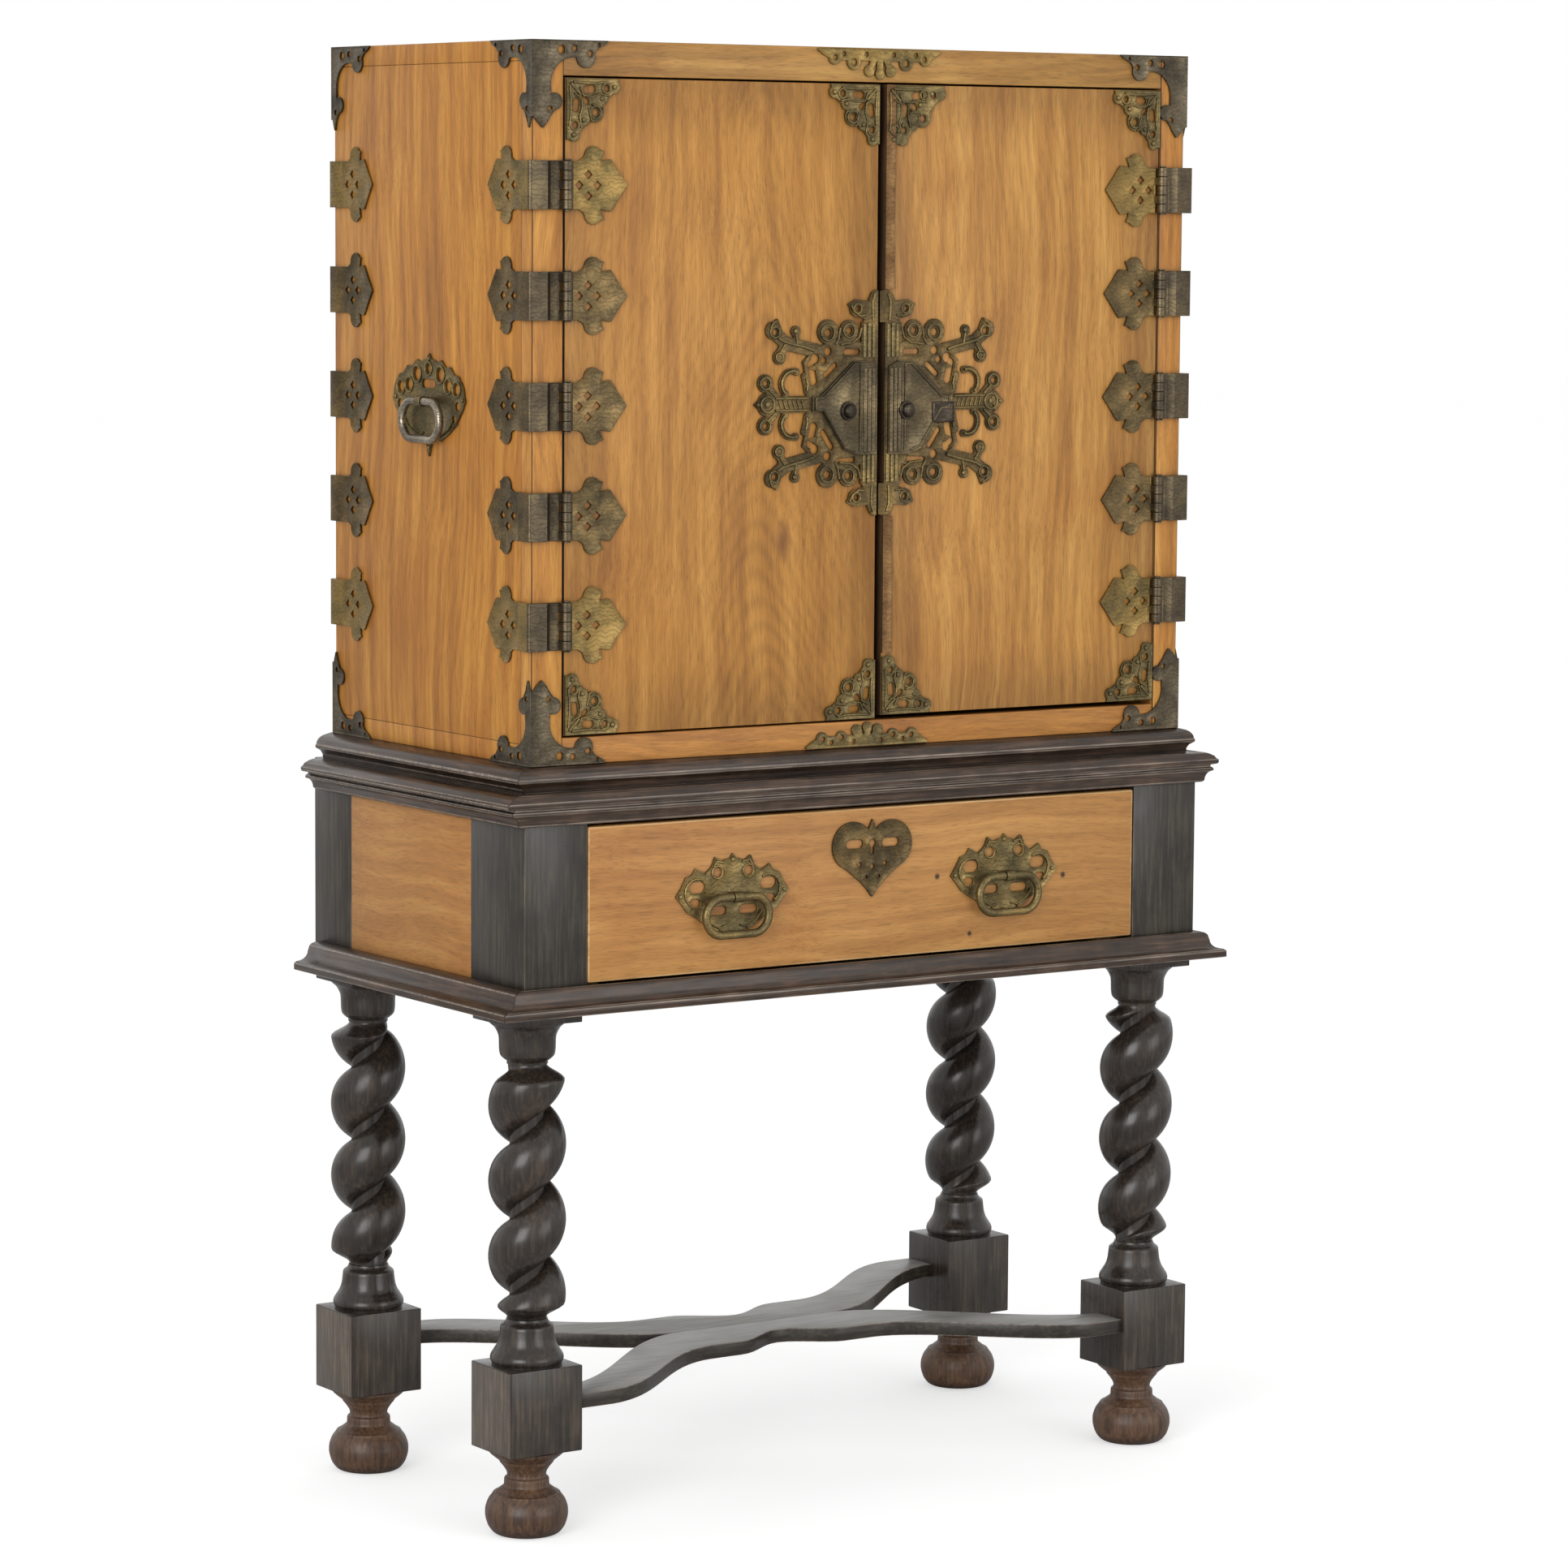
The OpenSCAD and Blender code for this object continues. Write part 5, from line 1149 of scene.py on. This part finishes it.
@dataclass
class Chasing:
    """The raised work on the brass plates: reeds, scrolls, leaf ribs, rings round the holes and nail heads.

    Each pattern is drawn in millimetres, across and up, on a plate that looks along -y.
    """

    finishes: Finishes
    lock_top: float = 94.0
    lock_end: float = 162.0
    plate_t: float = 3.0
    boss_t: float = 7.0
    door_mount: float = 68.0
    handle_plate_w: float = 146.0
    side_plate_w: float = 156.0
    side_pivot: float = 52.0

    def bead(self, path: Sequence[tuple[float, float]], width: float = 2.6, rise: float = 1.1) -> Piece:
        """Draws a half-round line: a round face extruded from point to point, and turned at each.

        Args:
            path: The points of the line.
            width: How wide the line is.
            rise: How far it stands out.

        Returns:
            The closed line, half of it sunk in the plate.
        """
        points = [Vector((u * MM, 0.0, v * MM)) for u, v in path]
        runs = [(b - a).normalized() for a, b in zip(points, points[1:])]
        aims = [runs[0], *((a + b).normalized() for a, b in zip(runs, runs[1:])), runs[-1]]
        turns = [math.atan2(aim.x, aim.z) for aim in aims]
        piece = primitive(bpy.ops.mesh.primitive_circle_add, "bead", vertices=8, radius=width / 2 * MM,
                          fill_type="NGON", location=points[0], rotation=(0, turns[0], 0))
        with editing(piece, "SELECT"):
            bpy.ops.transform.resize(value=(1, 2 * rise / width, 1), center_override=(0, 0, 0))
            for i in range(1, len(points)):
                bpy.ops.mesh.extrude_region_move(TRANSFORM_OT_translate={"value": points[i] - points[i - 1]})
                turned = (turns[i] - turns[i - 1] + math.pi) % math.tau - math.pi
                bpy.ops.transform.rotate(value=-turned, orient_axis="Y", center_override=points[i])
            bpy.ops.mesh.select_all(action="SELECT")
            bpy.ops.mesh.normals_make_consistent(inside=False)
        return piece

    def ring(self, at: tuple[float, float], radius: float, width: float = 2.2, rise: float = 0.9) -> Piece:
        """Draws a half-round ring round a place.

        Args:
            at: The place, across and up.
            radius: The radius of the ring's middle line.
            width: How wide the line is.
            rise: How far it stands out.

        Returns:
            The closed ring, half of it sunk in the plate.
        """
        piece = primitive(
            bpy.ops.mesh.primitive_torus_add, "ring", major_radius=radius * MM, minor_radius=width / 2 * MM,
            major_segments=24, minor_segments=8, location=(at[0] * MM, 0, at[1] * MM),
            rotation=(math.pi / 2, 0, 0))
        with editing(piece, "SELECT"):
            bpy.ops.transform.resize(value=(1, 2 * rise / width, 1), center_override=(0, 0, 0))
        return piece

    def nail(self, at: tuple[float, float], radius: float = 2.4) -> Piece:
        """Drives a nail with a domed head at a place.

        Args:
            at: The place, across and up.
            radius: The head's radius.

        Returns:
            The nail's head.
        """
        piece = primitive(
            bpy.ops.mesh.primitive_cylinder_add, "nail", vertices=16, radius=radius * MM, depth=1.2 * MM,
            location=(at[0] * MM, 0, at[1] * MM), rotation=(math.pi / 2, 0, 0))
        with editing(piece) as mesh:
            select_faces(mesh, piece, lambda face: face.normal.y < -0.9)
            for share, out in ((0.25, 0.45), (0.4, 0.3)):
                bpy.ops.mesh.inset(thickness=share * radius * MM, depth=0.0)
                bpy.ops.transform.translate(value=(0, -out * MM, 0))
        return piece

    def lay(self, name: str, node: str, finish: str, pattern: Piece, places: Sequence[Matrix]) -> None:
        """Lays copies of a pattern on the plates of a node.

        Args:
            name: The new piece's name.
            node: The CAD node that carries the work.
            finish: The short name of its finish.
            pattern: The lines, rings and nails of the pattern, in one piece.
            places: The place of each copy.
        """
        piece = join(name, [twin(pattern, "part", place) for place in places])
        piece.data.materials.clear()
        piece.data.materials.append(self.finishes[finish])
        smooth(piece, 60)
        dress(piece, body_of(node), self.finishes.slot(finish))

    def lock_half(self) -> list[Piece]:
        """Draws the upper half of the lock plate's work, from the gap between the doors outwards.

        Returns:
            Its lines, rings and nails.
        """
        top, end = self.lock_top, self.lock_end
        scroll = [(112 + 14 * math.cos(math.radians(a)), 22 + 14 * math.sin(math.radians(a)))
                  for a in range(-50, 111, 20)]
        parts = [self.bead([(u, 50), (u, top - 8)], 4.2, 1.3) for u in (5, 11, 17)]
        parts += [self.ring((u, top - v), r) for u, v, r in ((38, 15, 7.5), (66, 17, 8.5), (end - 27, 16, 6))]
        parts += [self.ring((end - 15, 23), 6.5), self.ring((end - 33, top - 43), 4.5)]
        parts += [self.bead(scroll, 3.0, 1.3), self.bead([(94, 28), (92, 21), (93, 14)], 3.0, 1.2),
                  self.bead([(84, 58), (98, 62), (112, 65), (124, 68), (131, 72)], 3.4, 1.3),
                  self.bead([(122, 65), (126, 59), (129, 54)], 2.6),
                  self.bead([(106, 65), (107, 71), (108, 76)], 2.6),
                  self.bead([(end - 28, 9), (end - 22, 14), (end - 18, 18)], 2.6),
                  self.bead([(end - 21, top - 12), (end - 24, top - 6), (end - 29, top - 4)], 2.4),
                  self.bead([(50, top - 12), (52, top - 24), (56, top - 30)], 2.4),
                  self.bead([(22, top - 12), (25, top - 22), (34, top - 28), (50, top - 30)], 2.6)]
        parts += [self.nail((108, top - 15), 2.8), self.nail((11, top - 9), 3.2)]
        # Finial
        parts += [self.ring((27, top + 9), 5.2),
                  self.bead([(6, top - 4), (7, top + 8), (7, top + 17), (4, top + 25)], 3.2, 1.2),
                  self.bead([(15, top + 2), (24, top + 1), (32, top + 6), (36, top + 13)], 2.4)]
        return parts

    def lock_middle(self) -> list[Piece]:
        """Draws the work across the middle of the lock plate: the side finial and its hatched stem.

        Returns:
            Its lines, rings and nails.
        """
        end = self.lock_end
        parts = [self.bead([(93, v), (134, v)], 2.4) for v in (-6.5, 6.5)]
        parts += [self.bead([(97 + 6 * i, -4.5), (100 + 6 * i, 4.5)], 1.8, 0.8) for i in range(6)]
        parts += [self.ring((end - 18, 0), 8.5, 2.8, 1.2), self.nail((end - 18, 0), 3.4),
                  self.nail((end - 5.5, 0), 2.0)]
        return parts

    def lock_boss(self) -> list[Piece]:
        """Draws the reeds and the raised frame on the boss.

        Returns:
            Its lines.
        """
        parts = [self.bead([(u, -53), (u, 38)], 4.2, 1.0) for u in (7, 12.5, 18)]
        frame_line = [(25, -52), (25, 43), (33, 43), (74, 6.5), (84, 6), (84, -6), (73, -6.5), (45, -47.5),
                      (32, -52)]
        return [*parts, self.bead(frame_line, 2.6, 0.8)]

    def cover(self) -> Piece:
        """Makes the dark oblong cover on the right door's boss.

        Returns:
            The cover.
        """
        depth = self.boss_t - self.plate_t + 2.2
        piece = primitive(bpy.ops.mesh.primitive_cube_add, "cover", size=MM, scale=(29, depth, 23),
                          location=(76 * MM, (1.0 - depth / 2) * MM, -11 * MM))
        with editing(piece, "SELECT") as mesh:
            bpy.ops.mesh.bevel(offset=0.9 * MM, segments=2, affect="EDGES")
            select_faces(mesh, piece, lambda face: face.normal.y < -0.99 and face.calc_area() > 100 * MM * MM)
            bpy.ops.mesh.inset(thickness=2.5 * MM, depth=-0.6 * MM)
        return piece

    def door_corner(self) -> list[Piece]:
        """Draws the work on a door's corner mount, from the corner and alike on both sides of the diagonal.

        Returns:
            Its lines, rings and nails.
        """
        s = self.door_mount
        parts = [self.ring((0.52 * s, 0.52 * s), 6.6), self.bead([(5, 5), (12, 12), (17, 17)], 3.4, 1.2)]
        for way in (1, -1):
            parts += [self.nail((0.31 * s, 0.64 * s)[::way], 2.4),
                      self.nail((0.13 * s, 0.87 * s)[::way], 2.6),
                      self.ring((0.72 * s, 0.15 * s)[::way], 5.2)]
            for line, width in ((((8, 4), (22, 5), (38, 5), (50, 3.6)), 2.6),
                                (((16, 9), (20, 18), (31, 19), (40, 16), (52, 18)), 2.2),
                                (((27, 31), (30, 44), (33, 45)), 2.2)):
                parts.append(self.bead([point[::way] for point in line], width))
        return parts

    def handle_plate(self) -> list[Piece]:
        """Draws the work on a drawer handle's plate, from the bail's pivot.

        Returns:
            Its lines, rings and nails.
        """
        w = self.handle_plate_w / 2
        arc = [math.radians(a) for a in range(-60, 121, 20)]
        parts = [self.nail((0, 40), 2.6), self.nail((0, -40), 2.4)]
        for s in (-1, 1):
            curl = [(s * (w - 27 + 15.5 * math.cos(a)), 6 + 15.5 * math.sin(a)) for a in arc]
            parts += [self.bead(curl, 2.6, 1.2), self.nail((s * (w - 6), 3), 2.2),
                      self.ring((s * 20, 27), 6.8),
                      self.bead([(s * 12, 37), (s * 21, 39), (s * 25, 33)], 2.4),
                      self.bead([(s * 9, -32), (s * 18, -34), (s * 31, -27), (s * 38, -18)], 2.4)]
        return parts

    def side_plate(self) -> list[Piece]:
        """Draws the work on a side handle's plate, from the bail's pivot.

        Returns:
            Its lines, rings and nails.
        """
        w = self.side_plate_w / 2
        parts = [self.nail((0, 45.5), 2.6), self.nail((0, -50), 2.6), self.ring((0, 35), 7.2)]
        for s in (-1, 1):
            curl = [(s * 10, -34), (s * 22, -38), (s * 34, -33), (s * 44, -28), (s * 52, -18)]
            parts += [self.ring((s * 25, 29), 9.2), self.ring((s * 42, 17), 8.2),
                      self.ring((s * (w - 18), 14), 8.2), self.nail((s * (w - 6), 3), 2.4),
                      self.bead(curl, 2.6)]
        return parts

    def build(self) -> None:
        """Lays the work on every plate."""
        plain, across, upside = Matrix(), Matrix.Scale(-1, 4, (1, 0, 0)), Matrix.Scale(-1, 4, (0, 0, 1))
        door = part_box("door_left")[0].y
        plate_y, boss_y = door - self.plate_t * MM, door - self.boss_t * MM
        half = join("half", self.lock_half())
        whole = join("whole", [twin(half, "part", plain), twin(half, "part", upside), *self.lock_middle()])
        raised = join("raised", self.lock_boss())
        cover = self.cover()
        corner = join("corner", self.door_corner())
        for side, edge, mirror in (("left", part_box("lock_plate_left")[1].x, across),
                                   ("right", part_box("door_right")[0].x, plain)):
            node = "lock_plate_" + side
            low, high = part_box(node)
            at, high_at = (Matrix.Translation((edge, y, (low.z + high.z) / 2)) @ mirror
                           for y in (plate_y, boss_y))
            self.lay("lock_work_" + side, node, "brass", whole, [at])
            self.lay("lock_boss_work_" + side, node, "brass_boss", raised, [high_at])
            if side == "right":
                self.lay("lock_cover", node, "brass_black", cover, [at])
        for side in ("left", "right"):
            node = "door_mounts_" + side
            low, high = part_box(node)
            self.lay("door_mount_work_" + side, node, "brass", corner, [
                Matrix.Translation((x, plate_y, z)) @ sideways @ upright
                for x, sideways in ((low.x, plain), (high.x, across))
                for z, upright in ((low.z, plain), (high.z, upside))])
        low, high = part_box("drawer_handle_plates")
        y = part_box("drawer_front")[0].y - self.plate_t * MM
        reach = self.handle_plate_w / 2 * MM
        handle = join("handle", self.handle_plate())
        self.lay("drawer_handle_work", "drawer_handle_plates", "brass_mid", handle, [
            Matrix.Translation((x, y, (low.z + high.z) / 2)) for x in (low.x + reach, high.x - reach)])
        low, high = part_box("side_handle_plates")
        x = -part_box("case_side_left")[0].x + self.plate_t * MM
        end = join("end", self.side_plate())
        self.lay("side_handle_work", "side_handle_plates", "brass_mid", end, [
            Matrix.Translation((s * x, (low.y + high.y) / 2, high.z - self.side_pivot * MM))
            @ Matrix.Rotation(s * math.pi / 2, 4, "Z") for s in (-1, 1)])
        for pattern in (half, whole, raised, cover, corner, handle, end):
            bpy.data.objects.remove(pattern)


# The studio


@dataclass
class Studio:
    """A pale seamless floor, soft lights and the camera at the photograph's angle."""

    eye: tuple[float, float, float] = (-3.3186, -5.00295, 1.4307)
    azimuth: float = 33.777
    pitch: float = 6.219
    roll: float = 0.4
    lens: float = 122.18
    ambient: float = 0.62

    def camera(self) -> None:
        """Sets up the camera."""
        az, down, roll = (math.radians(a) for a in (self.azimuth, self.pitch, self.roll))
        forward = Vector((math.sin(az) * math.cos(down), math.cos(az) * math.cos(down), -math.sin(down)))
        right = forward.cross(Vector((0, 0, 1))).normalized()
        up = right.cross(forward)
        side = right * math.cos(roll) + up * math.sin(roll)
        top = up * math.cos(roll) - right * math.sin(roll)
        data = bpy.data.cameras.new("photograph")
        data.lens, data.sensor_width = self.lens, 36.0
        data.clip_start, data.clip_end = 0.1, 60.0
        camera = put("photograph", data)
        turned = Matrix((side, top, -forward)).transposed().to_4x4()
        camera.matrix_world = Matrix.Translation(self.eye) @ turned
        bpy.context.scene.camera = camera

    def lamp(self, name: str, at: tuple[float, float, float], size: float, power: float) -> None:
        """Hangs a soft square lamp that faces the middle of the cabinet.

        Args:
            name: The lamp's name.
            at: Its place.
            size: The side of its square, in metres.
            power: Its power in watts.
        """
        data = bpy.data.lights.new(name, "AREA")
        data.size, data.energy = size, power
        lamp = put(name, data)
        lamp.location = at
        lamp.rotation_mode = "QUATERNION"
        lamp.rotation_quaternion = (Vector((0, 0, 0.9)) - Vector(at)).to_track_quat("-Z", "Y")

    def floor(self) -> None:
        """Lays a white paper floor that keeps a faint shadow."""
        floor = primitive(bpy.ops.mesh.primitive_plane_add, "floor", size=60.0, location=(0, 0, 0))
        g = Graph(bpy.data.materials.new("paper_seamless_white"))
        paper = g.add("BsdfDiffuse", {"Color": grey(0.8)})
        bright = g.add("Emission", {"Color": grey(1.0), "Strength": 0.5})
        lit = g.add("AddShader", {0: bright, 1: paper})
        ray = g.add("LightPath", out="Is Camera Ray")
        mix = g.add("MixShader", {0: ray, 1: paper, 2: lit})
        g.add("OutputMaterial", {"Surface": mix})
        floor.data.materials.append(g.owner)

    def sky(self) -> None:
        """Sets a white light all round, weaker where it only lights a matt surface."""
        world = bpy.data.worlds.new("soft_light")
        bpy.context.scene.world = world
        g = Graph(world)
        camera = g.add("LightPath", out="Is Camera Ray")
        seen = g.add("Math", {0: camera, 1: camera.node.outputs["Is Glossy Ray"]}, operation="MAXIMUM")
        level = g.add("MapRange", {"Value": seen, "To Min": self.ambient, "To Max": 1.0})
        light = g.add("Background", {"Color": grey(1.0), "Strength": level})
        g.add("OutputWorld", {"Surface": light})

    def build(self) -> None:
        """Makes the floor, the lamps and the camera."""
        bpy.context.scene.view_settings.view_transform = "Standard"
        self.floor()
        self.sky()
        self.lamp("key_window", (-5.6, -3.8, 2.2), 3.6, 225.0)
        self.lamp("fill_front", (1.8, -6.2, 1.5), 3.4, 88.0)
        self.camera()


def main() -> None:
    """Builds the cabinet in its studio and reports each piece."""
    logging.basicConfig(level=logging.INFO, format="%(name)s: %(message)s")
    Studio().build()
    finishes = Finishes()
    Joinery(finishes).build()
    TwistLegs(finishes).build()
    BrassMounts(finishes).build()
    Chasing(finishes).build()


if __name__ == "__main__":
    main()
